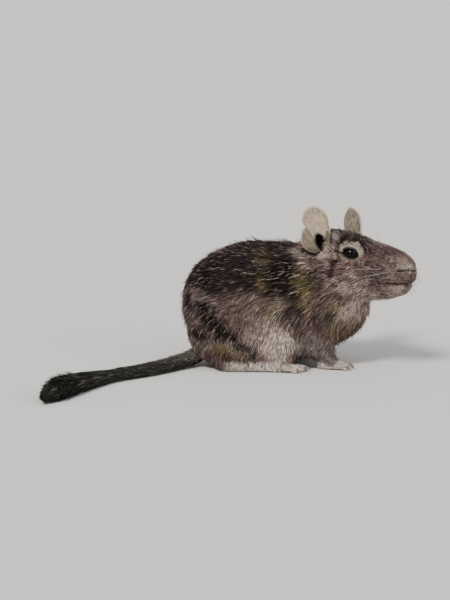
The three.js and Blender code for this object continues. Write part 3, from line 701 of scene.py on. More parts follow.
OCHRE_PATCHES = [
    ((0, 56), (3, 3), 80, 0.5),  # back
    ((0, 45), (4.5, 3.2), 80, 0.55),  # loins
    ((4.5, 31), (4, 3.6), 60, 0.5),  # flank
    ((-17, 11), (5, 2.6), 0, 0.95),  # low on the ham
    ((18.5, 45), (7, 3.8), 80, 0.7),  # top of the shoulder
    ((21, 36), (7, 3.4), 70, 0.6),  # shoulder
    ((35.5, 33), (3.5, 2.8), 70, 0.6),  # side of the neck
    ((38.5, 24), (9, 5), 60, 0.6),  # chest
    ((50.5, 23), (3, 3), 0, 0.8),  # front of the chest
    ((43, 18), (3, 4), 0, 0.4),  # under the chest
    ((-9, 31), (8, 7), 10, 0.12),  # over the thigh
    ((1, 25), (7, 5), 60, 0.35),  # front of the thigh
]
# Painted shade in a dark band down from the rump
RUMP_SHADE_BAND = [(-40, 34), (-34, 32), (-29.3, 29.6), (-24.9, 24.5), (-18.4, 18.2), (-10.4, 14.0), (-4, 11)]
GREY_BAND = [(-36, 41), (-29, 34), (-21, 21.5)]
# Lines and spots on the face: forward and up from the middle of the skull
TEMPLE = [(0.4, 15), (1.9, 10.5), (1.8, 5), (-0.5, 1)]
CHEEK_TOP = [(-2.5, 0.5), (2.0, 2.4), (7.6, 4.0)]
# The cheek's fold, the ruff's edge and the line under the ear are painted shade
CHEEK_FOLD = [(7.0, 2.4), (5.9, 1.0), (6.4, -3.0), (6.8, -6.8)]
RUFF_EDGE = [(-4.5, -3.0), (-4.0, -7.0), (-3.1, -12.5)]
UNDER_EAR = [(-12, 2.4), (-5.1, 1.4), (-2.7, 2.4), (-2.0, 5.0)]
BODY_STRAY = 4.5  # how far the marks' edges stray on the body and on the face
FACE_STRAY = 1.6


def patches(x, z, ovals, soft=0.5):
    """Soft ovals seen from the side, added up, each times its strength."""
    return sum(amount * patch(x, z, at, sizes, lean, soft) for at, sizes, lean, amount in ovals)


def body_marks(p):
    """The back is dark, the flank grey, the belly and the thigh pale, with a dark band of painted shade down
    from the rump, and ochre on the neck, the chest, the shoulder and low on the ham."""
    wander = np.stack([noise(p, 5.0, k) + 0.5 * noise(p, 1.8, k + 3) - 0.75 for k in (11, 12)])
    x, z = p[:, 0] + BODY_STRAY * wander[0], p[:, 2] + BODY_STRAY * wander[1]
    flank = smooth(np.abs(p[:, 1]), 4, 11)
    dark = 0.22 + 0.62 * smooth(z, 34, 43)
    dark = dark + flank * patches(x, z, DARK_PATCHES)
    grey = stroke(x, z, GREY_BAND, 3.2) * flank
    dark = dark * (1 - 0.6 * grey) + 0.12 * grey
    # The band down from the rump is painted shade
    dark = dark + 0.8 * stroke(x, z, RUMP_SHADE_BAND, 2.7, 0.4) * flank
    pale = patches(x, z, PALE_PATCHES) * flank
    pale = pale + 0.3 * smooth(z, 9, 3) * smooth(np.abs(p[:, 1]), 20, 10)
    ochre = patches(x, z, OCHRE_PATCHES, 0.7) * flank
    ochre = ochre * (0.55 + 0.8 * smooth(noise(p, 1.6, 19), 0.3, 0.8))
    dark = dark * (1 - 0.45 * np.clip(ochre, 0, 1)) * (1 - np.clip(1.4 * pale, 0, 0.9))
    return np.stack([dark, pale, ochre], 1)


def face_lines(p, h, forward, up, face):
    """How dark the lines of the face are: from the corner of the eye and in the rows where the whiskers grow,
    which are markings, and painted shade behind the cheek, at the edge of the ruff, under the ear, in a
    hollow at the ear's root, and in the grooves at the mouth and back from the nostrils."""
    lines = eye_corner(p)
    fold = stroke(forward, up, CHEEK_FOLD, 1.2)
    edge = stroke(forward, up, RUFF_EDGE, 1.1)
    spot = patch(forward, up, (9.4, -11.2), (1.8, 1.2), 20, 0.3)
    under_ear_shadow = stroke(forward, up, UNDER_EAR, 1.0)
    wave = np.sin(2 * math.pi * (up + 0.16 * forward) / 1.7)
    rows = smooth(wave, 0.1, 0.8) * patch(forward, up, (27, -1.5), (9, 5.5), -20, 0.3)
    hollow = patch(forward, up, (-2.8, 1.8), (1.6, 1.4), 0, 0.4)
    # Painted shade in the fold, at the ruff's edge, under the ear and in the hollow; the spot and the rows
    # are markings
    drawn = 0.85 * fold + 0.7 * edge + 0.9 * spot + 0.8 * under_ear_shadow + 0.8 * hollow + 0.5 * rows
    lines = lines + drawn * face
    # The groove of the mouth and the grooves back from the nostrils are darkened with painted shade
    mouth = 0.6 * smooth(np.abs(above_mouth(h)), 0.8, 0.25) * smooth(forward, 31, 34)
    return np.clip(lines + mouth + 0.9 * nostril_line(h), 0, 1)


def face_marks(p):
    """Cream round the eye, at the temple, on the cheek and on the chin, dark on the brow and above the
    cream, with a little ochre behind the cheek, painted shade in dark and a little ochre under the nose,
    and the lines of the face over them."""
    h = in_head(p)
    wander = noise(p, 2.6, 14) - 0.5
    forward = h[:, 0] + FACE_STRAY * wander
    left = np.abs(h[:, 1])
    up = h[:, 2] + FACE_STRAY * (noise(p, 2.6, 15) - 0.5)
    face = smooth(left, 1.5, 5)
    dark = 0.12 + 0.24 * smooth(up, 3, 9) * smooth(forward, 35, 31)
    dark = dark + 0.45 * smooth(up, 6, 10) * smooth(forward, 19, 13)
    dark = dark + 0.3 * smooth(noise(p, 2.2, 16), 0.5, 0.75) * smooth(forward, 2, 14)
    pale = 0.45 * smooth(up, -8.5, -12) * smooth(forward, -2, 8) * smooth(forward, 34, 26)
    pale = pale + 0.35 * smooth(up, -4.0, -6.5) * smooth(forward, 30, 36)
    pale = pale + 0.3 * smooth(noise(p, 1.9, 18), 0.56, 0.8) * smooth(up, 11, 7)
    pale = pale + 0.34 * patch(forward, up, (38.5, 6.2), (4.5, 2.6), -25)
    pale = pale + 0.12 * smooth(forward, 24, 32) * smooth(up, 8, 4)
    pale = pale + 0.14 * patch(forward, up, (14, -9), (9, 4), 15)
    ochre = 0.16 * smooth(forward, 2, -8) + 0.3 * smooth(up, -10, -13) * smooth(forward, 20, 12)
    # A darker, greenish patch under the nose: painted shade
    shade_under_nose = patch(forward, up, (41.5, 0.6), (3.0, 1.8), -20)
    dark = dark + 0.3 * shade_under_nose
    ochre = ochre + 0.12 * shade_under_nose
    pale = pale + 0.52 * stroke(forward, up, TEMPLE, 2.0) * smooth(left, 5.5, 8.5)
    pale = pale + 0.35 * stroke(forward, up, CHEEK_TOP, 0.9) * face
    for side in SIDES.values():
        middle, axes = eye_frame(side)
        q = (p - middle) @ axes
        near = smooth(q[:, 2], -3, 1)
        rear = -side * q[:, 0]
        cream = np.hypot((rear - 0.7) / 6.4, (q[:, 1] + 0.5) / 5.7) + 0.6 * wander
        above = smooth(-q[:, 1], -2.0, 1.5)
        ring = smooth(cream, 1.12, 0.88) * near
        pale = pale * (1 - ring) + ring * (0.2 + 0.36 * above)
        ochre = ochre + 0.3 * ring
        shade = 0.75 * smooth(cream, 0.98, 1.1) * smooth(cream, 1.7, 1.3) * smooth(-q[:, 1], 1, 3) * near
        dark = dark * (1 - ring) + shade
    lines = face_lines(p, h, forward, up, face)
    dark = dark * (1 - np.clip(1.3 * pale, 0, 0.85)) * (1 - lines) + lines
    return np.stack([dark, pale * (1 - 0.9 * lines), ochre * (1 - lines)], 1)


def marks_at(p, fields):
    """The markings at points: the face's where the head is nearest, white on the feet and in the fringe over
    them, and the body's elsewhere."""
    body = body_marks(p)
    face = face_marks(p)
    head = smooth(np.minimum(fields["trunk"], fields["neck"]) - fields["head"], -1.5, 2.0)[:, None]
    marks = body * (1 - head) + face * head
    others = np.min([fields[k] for k in ("trunk", "haunch", "shank", "arm")], 0)
    foot = (smooth(fields["foot"] - others, 1.0, -1.0) * smooth(fields["foot"], 4, 2))[:, None]
    marks = marks * (1 - foot) + foot * np.array([0.0, 0.9, 0.0])
    x, y, z = p.T
    fringe = smooth(z, 6.8, 4.0) * smooth(np.abs(y), 13, 16) * smooth(x, -22, -14) * smooth(x, 14, 8)
    marks[:, 1] += fringe
    marks[:, 0] *= 1 - np.clip(fringe, 0, 1)
    return np.clip(marks, 0, 1)


# The lie of the coat


def lie_of_coat(p, fields):
    """The direction of the hair: the mean of the parts' directions, each weighted by exp(-field / 2)."""
    down = np.array([0.0, 0.0, -1.0])
    n = len(p)
    low = smooth(p[:, 2], 48, 18)[:, None]
    guides = {
        "trunk": np.array([-1.0, 0, 0]) * (1 - 0.55 * low) + down * (0.25 + 0.75 * low),
        "neck": np.repeat([[-0.75, 0.05, -0.75]], n, 0),
        "haunch": np.array([-0.45, 0, 0]) + down * (0.55 + 0.6 * low),
        "arm": np.repeat([[-0.35, 0, -1.0]], n, 0),
        "shank": np.repeat([[0.2, 0, -1.0]], n, 0),
        "foot": np.repeat([[1.0, 0, -0.15]], n, 0),
    }
    h = in_head(p)
    outward = np.sign(h[:, 1])[:, None] * HEAD_AXES[:, 1]
    parting = 0.25 * outward * smooth(h[:, 2], 4, 9)[:, None]
    guides["head"] = -HEAD_AXES[:, 0] - 0.28 * HEAD_AXES[:, 2] + parting
    weights = part_weights(fields, guides, 2.0)
    lie = sum(weights[name][:, None] * guides[name] for name in guides) / sum(weights.values())[:, None]
    return lie / np.linalg.norm(lie, axis=1, keepdims=True)


def turned(lie, normal, angle):
    """The lie laid flat on the surface, then turned about its normal by an angle in radians."""
    flat = lie - (lie * normal).sum(1, keepdims=True) * normal
    flat /= np.linalg.norm(flat, axis=1, keepdims=True).clip(1e-6)
    aside = np.cross(normal, flat)
    return flat * np.cos(angle)[:, None] + aside * np.sin(angle)[:, None]


# Tufts


# Each tuft has four stations, at these shares of its length. The first three have a left and a right edge
# and a ridge between them, and the last is its tip.
STATIONS = np.array([0.0, 0.3, 0.68, 1.0])
STATION_WIDTHS = np.array([0.6, 1.0, 0.72])  # of the first three
STATION_HEIGHTS = np.array([0.42, 0.82, 1.0])  # of the last three
RIDGE = 0.75  # its height as a share of half the width
TUFT_CORNERS = 10
TUFT_PATCH = 0.003  # how far across its own patch of the map is
ROOT_DEPTH = 0.25  # how far below the skin it starts


def follow(p, normal, lie, length, rise, bend):
    """The four points of each tuft: steps along its lie, each then moved to its own height over the skin by
    the field of the skin. The rise is its tip's height."""
    aside = np.cross(normal, lie)
    lines = [p - ROOT_DEPTH * normal]
    for share, height in zip(STATIONS[1:], STATION_HEIGHTS):
        q = p + lie * (length * share)[:, None] + aside * (length * bend * share**2)[:, None]
        q = q + normal * (rise * height)[:, None]
        direction = gradient(skin_field, q)
        gap = np.clip(rise * height - skin_field(q), -0.6 * length, 0.6 * length)
        lines.append(q + direction * gap[:, None])
    return np.stack(lines, 1)


def tuft_arrays(lines, normal, width):
    """Closed tapered tufts of three sides: two edges and a ridge at each of three stations, and a tip."""
    n = len(lines)
    tangent = np.gradient(lines, axis=1)
    tangent /= np.linalg.norm(tangent, axis=2, keepdims=True).clip(1e-6)
    aside = np.cross(normal[:, None], tangent)
    aside /= np.linalg.norm(aside, axis=2, keepdims=True).clip(1e-6)
    over = np.cross(tangent, aside)
    half = (0.5 * width)[:, None, None] * STATION_WIDTHS[None, :, None]
    left = lines[:, :3] + aside[:, :3] * half
    right = lines[:, :3] - aside[:, :3] * half
    ridge = lines[:, :3] + over[:, :3] * half * RIDGE
    rings = np.stack([left, ridge, right], 2).reshape(n, 9, 3)
    corners = np.concatenate([rings, lines[:, 3:]], 1).reshape(-1, 3)
    quads = grid_faces(3, 3)
    triangles = np.array([[6, 7, 9], [7, 8, 9], [8, 6, 9], [0, 2, 1]])
    start = TUFT_CORNERS * np.arange(n)[:, None, None]
    return corners, (start + quads).reshape(-1, 4), (start + triangles).reshape(-1, 3)


def tuft_piece(name, tufts, uv):
    """One coat piece. Each tuft's marks and tone are on its corners, and its own small patch of the map
    lies at its root's place."""
    corners, quads, triangles = tuft_arrays(tufts["lines"], tufts["normal"], tufts["width"])
    n = len(tufts["lines"])
    along = np.tile(np.append(np.repeat(STATIONS[:3], 3), 1.0), n)
    across = np.tile([0, 0.5, 1, 0, 0.5, 1, 0, 0.5, 1, 0.5], n)
    each = lambda value: np.repeat(value, TUFT_CORNERS, axis=0)
    strand = np.stack([along, each(tufts["tone"]), each(tufts["hue"])], 1)
    places = each(uv) + TUFT_PATCH * (np.stack([across, along], 1) - 0.5)
    values = {"marks": each(tufts["marks"]), "strand": strand}
    return make_mesh(name, corners, [quads, triangles], values, places)


def scatter(corners, quads, density):
    """Random points on quads, as many for each square millimetre as density says at each quad's middle."""
    a, b, c, d = (corners[quads[:, i]] for i in range(4))
    area = 0.5 * np.linalg.norm(np.cross(c - a, d - b), axis=1)
    expected = area * density((a + b + c + d) / 4)
    counts = rng.poisson(expected)
    which = np.repeat(np.arange(len(quads)), counts)
    u, v = rng.random((2, len(which), 1))
    return (a[which] * (1 - u) + b[which] * u) * (1 - v) + (d[which] * (1 - u) + c[which] * u) * v


# The coat of the body and the head: sizes by part, in millimetres. On the head each is given at the back of
# the skull and at the end of the muzzle. The density is in tufts to the square millimetre.
DENSITY = dict(trunk=3.1, neck=3.3, haunch=3.3, arm=4.2, shank=4.2, foot=5.5, head=(4.6, 6.0))
LENGTH = dict(trunk=8.2, neck=7.6, haunch=6.6, arm=4.6, shank=3.4, foot=1.5, head=(4.2, 1.5))
WIDTH = dict(trunk=0.52, neck=0.5, haunch=0.5, arm=0.42, shank=0.36, foot=0.26, head=(0.4, 0.26))
RISE = dict(trunk=3.0, neck=3.3, haunch=2.4, arm=1.6, shank=1.2, foot=0.35, head=(1.6, 0.4))
PROUD = (0.07, 1.45)  # the share of tufts that stand out, and how many times as high
DEEP = (0.12, 0.3)  # the share of tufts that are darker than their neighbours, and by how much
PALE_STREAKS = (0.22, 0.38)  # how pale the few palest tufts are
LEAN = 1.7  # how strongly each tuft leans to one side of a mark's edge
NO_EYE_NEAR = 9.0  # the distance where no eye is near, in half-sizes of its opening


def eye_ring(p):
    """How far points lie from the middle of the nearer eye, in half-sizes of its opening, and the way out
    from it."""
    ring = np.full(len(p), NO_EYE_NEAR)
    out = np.zeros((len(p), 3))
    for side in SIDES.values():
        middle, axes = eye_frame(side)
        q = (p - middle) @ axes
        size = np.hypot(q[:, 0] / EYE_OPENING[0], q[:, 1] / EYE_OPENING[1])
        size = np.where(q[:, 2] > 0, size, NO_EYE_NEAR)
        closer = size < ring
        ring = np.where(closer, size, ring)
        away = q * [1, 1.6, 0]
        away = (away / np.linalg.norm(away, axis=1, keepdims=True).clip(1e-6)) @ axes.T
        out = np.where(closer[:, None], away, out)
    return ring, out


def bare_places(p, local, normal, ring):
    """Where nothing grows: on the eyes, the nose, the lips, the soles, the ears and the line behind each
    eye."""
    nose = np.linalg.norm((local - NOSE_AT) / (3.0, 3.6, 3.0), axis=1)
    lips = np.abs(above_mouth(local)) + 9 * (local[:, 0] < 32)
    on_face = (ring < 1.04) | (nose < 0.84) | (lips < 0.35) | (eye_corner(p) > 0.3)
    sole = (p[:, 2] < 1.6) & (normal[:, 2] < -0.3)
    return on_face | sole | (in_ears(p) > -0.4)


def fuller_places(p, local):
    """How much higher the tips stand on the hump of the neck, the back, the crown, the chin and under the
    ears."""
    fuller = 1.3 * patch(p[:, 0], p[:, 2], (8, 57), (16, 9)) + 0.4 * smooth(p[:, 2], 38, 50)
    fuller = fuller + 0.7 * smooth(local[:, 2], 8, 11) * smooth(local[:, 0], 22, 12)
    fuller = fuller + 1.1 * patch(local[:, 0], local[:, 2], (28, -13.5), (9, 4))
    return fuller + patch(local[:, 0], local[:, 2], (2.5, 7), (3.0, 7)) * smooth(np.abs(local[:, 1]), 6, 9)


def grow_coat(corners, quads):
    """Every tuft of the body: its root, line, width, marks and tone, and the part that it grows on."""
    roots = scatter(corners, quads, lambda p: by_part(p, parts(p), DENSITY))
    fields = parts(roots)
    normal = gradient(skin_field, roots)
    ring, out = eye_ring(roots)
    local = in_head(roots)
    bare = bare_places(roots, local, normal, ring)
    roots, normal, ring, out, local = (v[~bare] for v in (roots, normal, ring, out, local))
    fields = {name: field[~bare] for name, field in fields.items()}
    n = len(roots)

    lie = lie_of_coat(roots, fields)
    # Round the eyes the hair lies outward and is shorter. Elsewhere two sizes of noise turn it a little.
    lie += out * (1.6 * smooth(ring, 2.4, 1.1))[:, None]
    flow = 0.5 * (noise(roots, 11.0, 5) - 0.5) + 0.5 * (noise(roots, 4.0, 6) - 0.5)
    lie = turned(lie, normal, flow + rng.normal(0, 0.15, n))
    near_eye = smooth(ring, 1.0, 2.6)
    length = by_part(roots, fields, LENGTH) * rng.uniform(0.72, 1.18, n) * (0.35 + 0.65 * near_eye)
    proud = rng.random(n) < PROUD[0]
    # Low on the haunches the hair is longer, as a fringe.
    fringe = smooth(roots[:, 2], 9, 6) * smooth(np.abs(roots[:, 1]), 13, 17) * smooth(roots[:, 0], 10, 4)
    length = length * (1 + 0.7 * fringe)
    rise = (by_part(roots, fields, RISE) + fuller_places(roots, local)) * rng.uniform(0.7, 1.08, n)
    rise = rise * np.where(proud, PROUD[1], 1.0) * (0.3 + 0.7 * near_eye)
    lines = follow(roots, normal, lie, length, rise, rng.normal(0, 0.12, n))
    lines[..., 2] = np.maximum(lines[..., 2], HAIR_FLOOR)
    # Tufts that would run into an ear's leaf are left out.
    clear = np.ones(n, bool)
    for k in (1, 2, 3):
        front, within = ear_gaps(lines[:, k])
        clear &= (within < 0.1) | (front < -1.4) | (front > 0.5) & (within < 2.6)
    roots, normal, length, lines = (v[clear] for v in (roots, normal, length, lines))
    fields = {name: field[clear] for name, field in fields.items()}
    n = len(roots)

    marks = marks_at(lines[:, 2], fields)
    # Each tuft leans to one side of a mark's edge, so that marks break up into strokes.
    sharp = np.clip(0.5 + LEAN * (marks - 0.5 + 0.36 * (rng.random((n, 3)) - 0.5)), 0, 1)
    marks = np.where((marks > 0.1) & (marks < 0.95), 0.5 * marks + 0.5 * sharp, marks)
    # Some tufts are a little paler, more of them in clumps, and a few are much paler.
    streak = rng.random(n)
    clump = noise(roots, 2.2, 8)
    light = rng.uniform(0.06, 0.22, n) + 0.1 * marks[:, 0]
    pale = np.where(streak < 0.07 + 0.18 * smooth(clump, 0.5, 0.75), light, 0.0)
    pale = np.where(streak > 0.985, rng.uniform(*PALE_STREAKS, n), pale)
    marks[:, 1] = np.clip(marks[:, 1] + pale * (1 - marks[:, 1]), 0, 1)
    marks[:, 0] = np.clip(marks[:, 0] * (1 - pale), 0, 1)
    tone = 0.43 + rng.normal(0, 0.2, n) + 0.45 * (clump - 0.5)
    tone = np.clip(tone - DEEP[1] * (rng.random(n) < DEEP[0]), 0, 1)
    names = list(DENSITY)
    part = np.argmin(np.stack([fields[name] for name in names]), 0)
    tufts = dict(
        root=roots, lines=lines, normal=normal, marks=marks, tone=tone,
        width=by_part(roots, fields, WIDTH) * rng.uniform(0.75, 1.2, n),
        hue=rng.random(n),
    )
    return tufts, np.array(names)[part]


def pick(tufts, chosen):
    """The chosen ones of some tufts."""
    return {key: value[chosen] for key, value in tufts.items()}


def spread_out(u, v):
    """A pair of numbers for each root, each filling the map from edge to edge."""
    uv = np.stack([u, v], 1)
    low, high = uv.min(0), uv.max(0)
    return 0.01 + 0.98 * (uv - low) / (high - low).clip(1e-6)


def round_body(p):
    """A place on the trunk's own unwrap: along it, and round it from the belly."""
    return spread_out(p[:, 0], np.arctan2(p[:, 1], p[:, 2] - 30))


def round_head(p):
    """A place on the head's own unwrap: along it, and round it from the throat."""
    h = in_head(p)
    return spread_out(h[:, 0], np.arctan2(h[:, 1], h[:, 2]))


def round_limbs(p):
    """A place on the limbs' own unwrap. Each of the four has a quarter of the map, which takes the place
    along it and the angle round its middle."""
    quarter = 2.0 * (p[:, 0] > 18) + (p[:, 1] > 0)
    ahead = p[:, 0] - 0.6 * p[:, 2]
    turn_round = np.arctan2(np.abs(p[:, 1]) - 14 - 5.5 * (p[:, 0] < 18), p[:, 2] - 6)
    uv = np.zeros((len(p), 2))
    for k in range(4):
        own = quarter == k
        if own.any():
            uv[own] = spread_out(ahead[own], turn_round[own])
    return uv * 0.48 + np.stack([0.5 * (quarter % 2), 0.5 * (quarter // 2)], 1)


# Ears, eyes, nose, claws and whiskers


EAR_COLUMNS = 96


def build_ear(name, side):
    """An ear as one closed sheet: rings run out over its inside to the rim, and back over its outside. It
    holds how far out each corner is, its share of the cup, and whether it is inside, and how much it is on
    the crease, in the groove inside the rolled rim and on the grey parts. The cup, the crease and the groove
    are where painted shade goes."""
    share = np.concatenate([np.linspace(0.05, 0.8, 20), np.linspace(0.83, 1, 8)])
    back = share[::-2]
    shares = np.concatenate([share, back])
    over = np.concatenate([0 * share, ear_thickness(back)])
    rim = ear_rim(np.arange(EAR_COLUMNS) / EAR_COLUMNS)
    rear, high = (shares[:, None] * rim[None, :, k] for k in (0, 1))
    leaf = ear_surface(side, rear, high, over[:, None])
    ends = ear_surface(side, np.zeros(2), np.zeros(2), np.array([0.0, 1.0]))
    corners = np.concatenate([leaf.reshape(-1, 3), ends])
    rows = len(shares)
    ring, after = ring_of(EAR_COLUMNS)
    top = (rows - 1) * EAR_COLUMNS
    first = rows * EAR_COLUMNS
    caps = [fan(first, after, ring), fan(first + 1, top + ring, top + after)]
    quads = grid_faces(rows, EAR_COLUMNS)
    if side < 0:
        quads, caps = quads[:, ::-1], [cap[:, ::-1] for cap in caps]
    far = (shares[:, None] * (1 - 0.09 * smooth(high, 6, 2) * smooth(rear, 0, -3))).ravel()
    far = np.append(far, [0, 0])
    cup = np.append(ear_leaf(rear, high)[2].ravel(), [1, 1])
    within = np.append(np.repeat(over == 0, EAR_COLUMNS), [1, 0])
    rear, high = (np.append(v.ravel(), [0, 0]) for v in (rear, high))
    # Painted shade along the crease in front of the lobe
    crease = ear_crease_shade(rear, high) * smooth(far, 0.15, 0.3)
    # Painted shade in the groove just inside the rolled front rim
    rolled = smooth(rear, -1.5, -3.0) * smooth(high, 5.0, 8.0) * np.exp(-(((far - 0.87) / 0.045) ** 2))
    grey = np.maximum(smooth(ear_lobe(rear, high), -0.6, 0.8), 0.5 * smooth(high + 0.5 * rear, 10, 18))
    values = {"leaf": np.stack([far, cup, within], 1), "place": np.stack([crease, rolled, grey], 1)}
    return make_mesh(name, corners, [quads, *caps], values)


EAR_HAIRS = 4200  # on each ear in all, of which the next two lie across its cup and on its front edge
CUP_HAIRS = 60
EDGE_HAIRS = 620
DOWN_HEIGHTS = (-0.12, 0.1, 0.16, 0.18)  # how high the four stations of a fine hair stand over the leaf
FRONT_EDGE = ([-4, -1.2, 3, 7.5], [-2.8, -4.4, -4.9, -5.3])  # of the leaf: how far up and to the rear


def hairs_over_cup(side):
    """Hairs on the front of an ear, from first to last: their first places, their lines, marks and tone. The
    first ones start on the front edge of the cup and lie across it. The others start on the low front edge of
    the leaf, like the fur in front of it, and lie down and to the rear. All follow the leaf as if it had no
    cup."""
    depth, wide, tall = EAR_CUP
    down = rng.uniform(-0.1 * math.pi, 0.45 * math.pi, CUP_HAIRS)
    cup_high = CUP_MIDDLE[1] - 1.15 * tall * np.sin(down)
    cup_rear = CUP_MIDDLE[0] + CUP_LEAN * cup_high
    cup_rear = cup_rear - 1.2 * wide * np.cos(down) * rng.uniform(0.8, 1.15, CUP_HAIRS)
    edge_high = rng.uniform(-4.0, 6.5, EDGE_HAIRS)
    edge_rear = np.interp(edge_high, *FRONT_EDGE) + 1.4 * rng.random(EDGE_HAIRS) ** 2
    rear, high = np.append(cup_rear, edge_rear), np.append(cup_high, edge_high)
    n = len(rear)
    edge = np.arange(n) >= CUP_HAIRS
    length = np.where(edge, 2.9 - 0.22 * np.clip(high, 0, 7), 2.4) * rng.uniform(0.6, 1.2, n)
    toward = np.stack([np.where(edge, 0.75, 0.9), np.where(edge, -0.5, 0.35)], 1)
    toward = toward + rng.normal(0, 0.22, (n, 2))
    lift = np.where(edge, 0.6, 0.8) * rng.uniform(0.4, 1.3, n)
    middle, axes = EARS[side]
    lines = []
    for step in STATIONS:
        r, h = rear + toward[:, 0] * step * length, high + toward[:, 1] * step * length
        _, forward, cup = ear_leaf(r, h)
        height = forward + depth * cup - 0.15 + lift * (1 - (1 - step) ** 2)
        lines.append(middle + np.stack([r, h, height], 1) @ axes)
    dark = ~edge | (rng.random(n) < 0.3)
    marks = np.stack([0.85 * dark + 0.15 * ~dark, 0.45 * ~dark * rng.random(n), 0 * rear], 1)
    return rear, high, np.stack(lines, 1), marks, np.where(dark, 0.2, 0.25 + 0.5 * rng.random(n))


def ear_down(side):
    """Fine hairs on both faces of an ear, which run up it and out to its rim. They are shortest at its
    edge."""
    count = EAR_HAIRS
    size = np.hypot(RIM[:, 0], RIM[:, 1])
    around = (rng.choice(360, count, p=size**2 / (size**2).sum()) + rng.random(count)) / 360
    rim = ear_rim(around)
    share = 0.88 * np.sqrt(rng.random(count))
    rear, high = rim[:, 0] * share, rim[:, 1] * share
    cup = ear_leaf(rear, high)[2]
    within = (rng.random(count) < 0.4) & (cup < 0.3)
    edge = smooth(share, 0.8, 1.0)
    out = np.stack([rear, high], 1) / np.hypot(rear, high).clip(1e-3)[:, None]
    ahead = 0.6 * out + [0.1, 0.75] + rng.normal(0, 0.15, (count, 2))
    ahead /= np.linalg.norm(ahead, axis=1, keepdims=True)
    length = np.where(within, 1.0, 1.4) * rng.uniform(0.7, 1.3, count) * (1 - 0.5 * edge)
    sign = np.where(within, -1.0, 1.0)
    lines = []
    for step, lift in zip(STATIONS, DOWN_HEIGHTS):
        r, h = rear + ahead[:, 0] * step * length, high + ahead[:, 1] * step * length
        outside_face = ear_thickness(np.minimum(ear_leaf(r, h)[0], 1))
        lines.append(ear_surface(side, r, h, np.where(within, 0.0, outside_face) + sign * lift))
    lines = np.stack(lines, 1)
    near = 0.2
    here = ear_surface(side, rear, high, 0.0)
    to_rear = ear_surface(side, rear + near, high, 0.0) - here
    upward = ear_surface(side, rear, high + near, 0.0) - here
    normal = np.cross(to_rear, upward)
    normal /= np.linalg.norm(normal, axis=1, keepdims=True).clip(1e-9)
    normal *= -(sign * np.sign(normal @ EARS[side][1][2]))[:, None]
    tone = np.clip(rng.normal(0.5, 0.2, count), 0, 1)
    lobe = smooth(ear_lobe(rear, high), -0.6, 0.8)
    bulge = 0.5 * smooth(cup, 0.03, 0.3)
    # On the inside, hairs along the crease are darkened with painted shade
    dark = np.where(within, 0.35 * lobe + 0.45 * ear_crease_shade(rear, high), 0.45 + bulge)
    dark = dark + 0.1 * rng.random(count)
    marks = np.stack([dark, 0.7 - 0.45 * lobe - 0.45 * ~within, 0.25 * rng.random(count)], 1)
    n = CUP_HAIRS + EDGE_HAIRS
    rear[:n], high[:n], lines[:n], marks[:n], tone[:n] = hairs_over_cup(side)
    uv = np.stack([0.25 + 0.02 * rear + 0.5 * within, 0.25 + 0.035 * high], 1)
    return dict(root=lines[:, 0], lines=lines, normal=normal, width=rng.uniform(0.14, 0.26, count),
                marks=np.clip(marks, 0, 1), tone=tone, hue=rng.random(count), uv=uv)


def ball(name, centre, axes, radius, rows=28, columns=44):
    """A closed ball whose radius is a function of the angle from its front and of the turn about it."""
    tilt = np.linspace(0, math.pi, rows)[1:-1, None]
    around = np.linspace(0, 2 * math.pi, columns, endpoint=False)[None]

    def place(a, b):
        ways = np.broadcast_arrays(np.sin(a) * np.cos(b), np.sin(a) * np.sin(b), np.cos(a))
        return (radius(a, b)[..., None] * np.stack(ways, -1)).reshape(-1, 3)

    middle = place(tilt, around)
    poles = [place(np.array([[end]]), np.zeros((1, 1))) for end in (0.0, math.pi)]
    local = np.concatenate([middle, *poles])
    ring, after = ring_of(columns)
    last = (rows - 3) * columns
    caps = np.concatenate([fan(len(middle), ring, after), fan(len(middle) + 1, last + after, last + ring)])
    quads = grid_faces(rows - 2, columns)[:, ::-1]
    return make_mesh(name, centre + local @ axes.T, [quads, caps])


CORNEA = (0.05, 0.55)  # how far it stands out as a share of the radius, and how wide it is in radians


def build_eye(name, side):
    """An eyeball that faces outward, with the cornea a little proud of it."""
    middle, axes = eye_frame(side)
    proud, wide = CORNEA

    def radius(tilt, around):
        return (EYE_RADIUS - 0.05) * (1 + proud * np.exp(-((tilt / wide) ** 2)) + 0 * around)

    return ball(name, middle, axes, radius)


def tube(path, radii, sides, up=(0, 0, 1), flat=1.0, closed=False):
    """A profile carried along a path: rings of an ellipse whose half-width is the radius there and whose
    half-height is flat times that. An open one ends in two points. Returns corners, quads and triangles."""
    path = np.asarray(path, float)
    n = len(path)
    if closed:
        tangent = np.roll(path, -1, 0) - np.roll(path, 1, 0)
    else:
        tangent = np.gradient(path, axis=0)
    tangent /= np.linalg.norm(tangent, axis=1, keepdims=True)
    aside = np.cross(np.broadcast_to(up, path.shape), tangent)
    aside /= np.linalg.norm(aside, axis=1, keepdims=True).clip(1e-6)
    over = np.cross(tangent, aside)
    angle = np.linspace(0, 2 * math.pi, sides, endpoint=False)[None, :, None]
    radii = np.broadcast_to(np.asarray(radii, float), (n,))[:, None, None]
    corners = path[:, None] + radii * (np.cos(angle) * aside[:, None] + flat * np.sin(angle) * over[:, None])
    corners = corners.reshape(-1, 3)
    quads = grid_faces(n, sides)
    ring, after = ring_of(sides)
    last = (n - 1) * sides
    if closed:
        seam = np.stack([last + ring, last + after, after, ring], 1)
        return corners, np.concatenate([quads, seam]), np.zeros((0, 3), int)
    first = len(corners)
    triangles = np.concatenate([fan(first, after, ring), fan(first + 1, last + ring, last + after)])
    return np.concatenate([corners, [path[0], path[-1]]]), quads, triangles


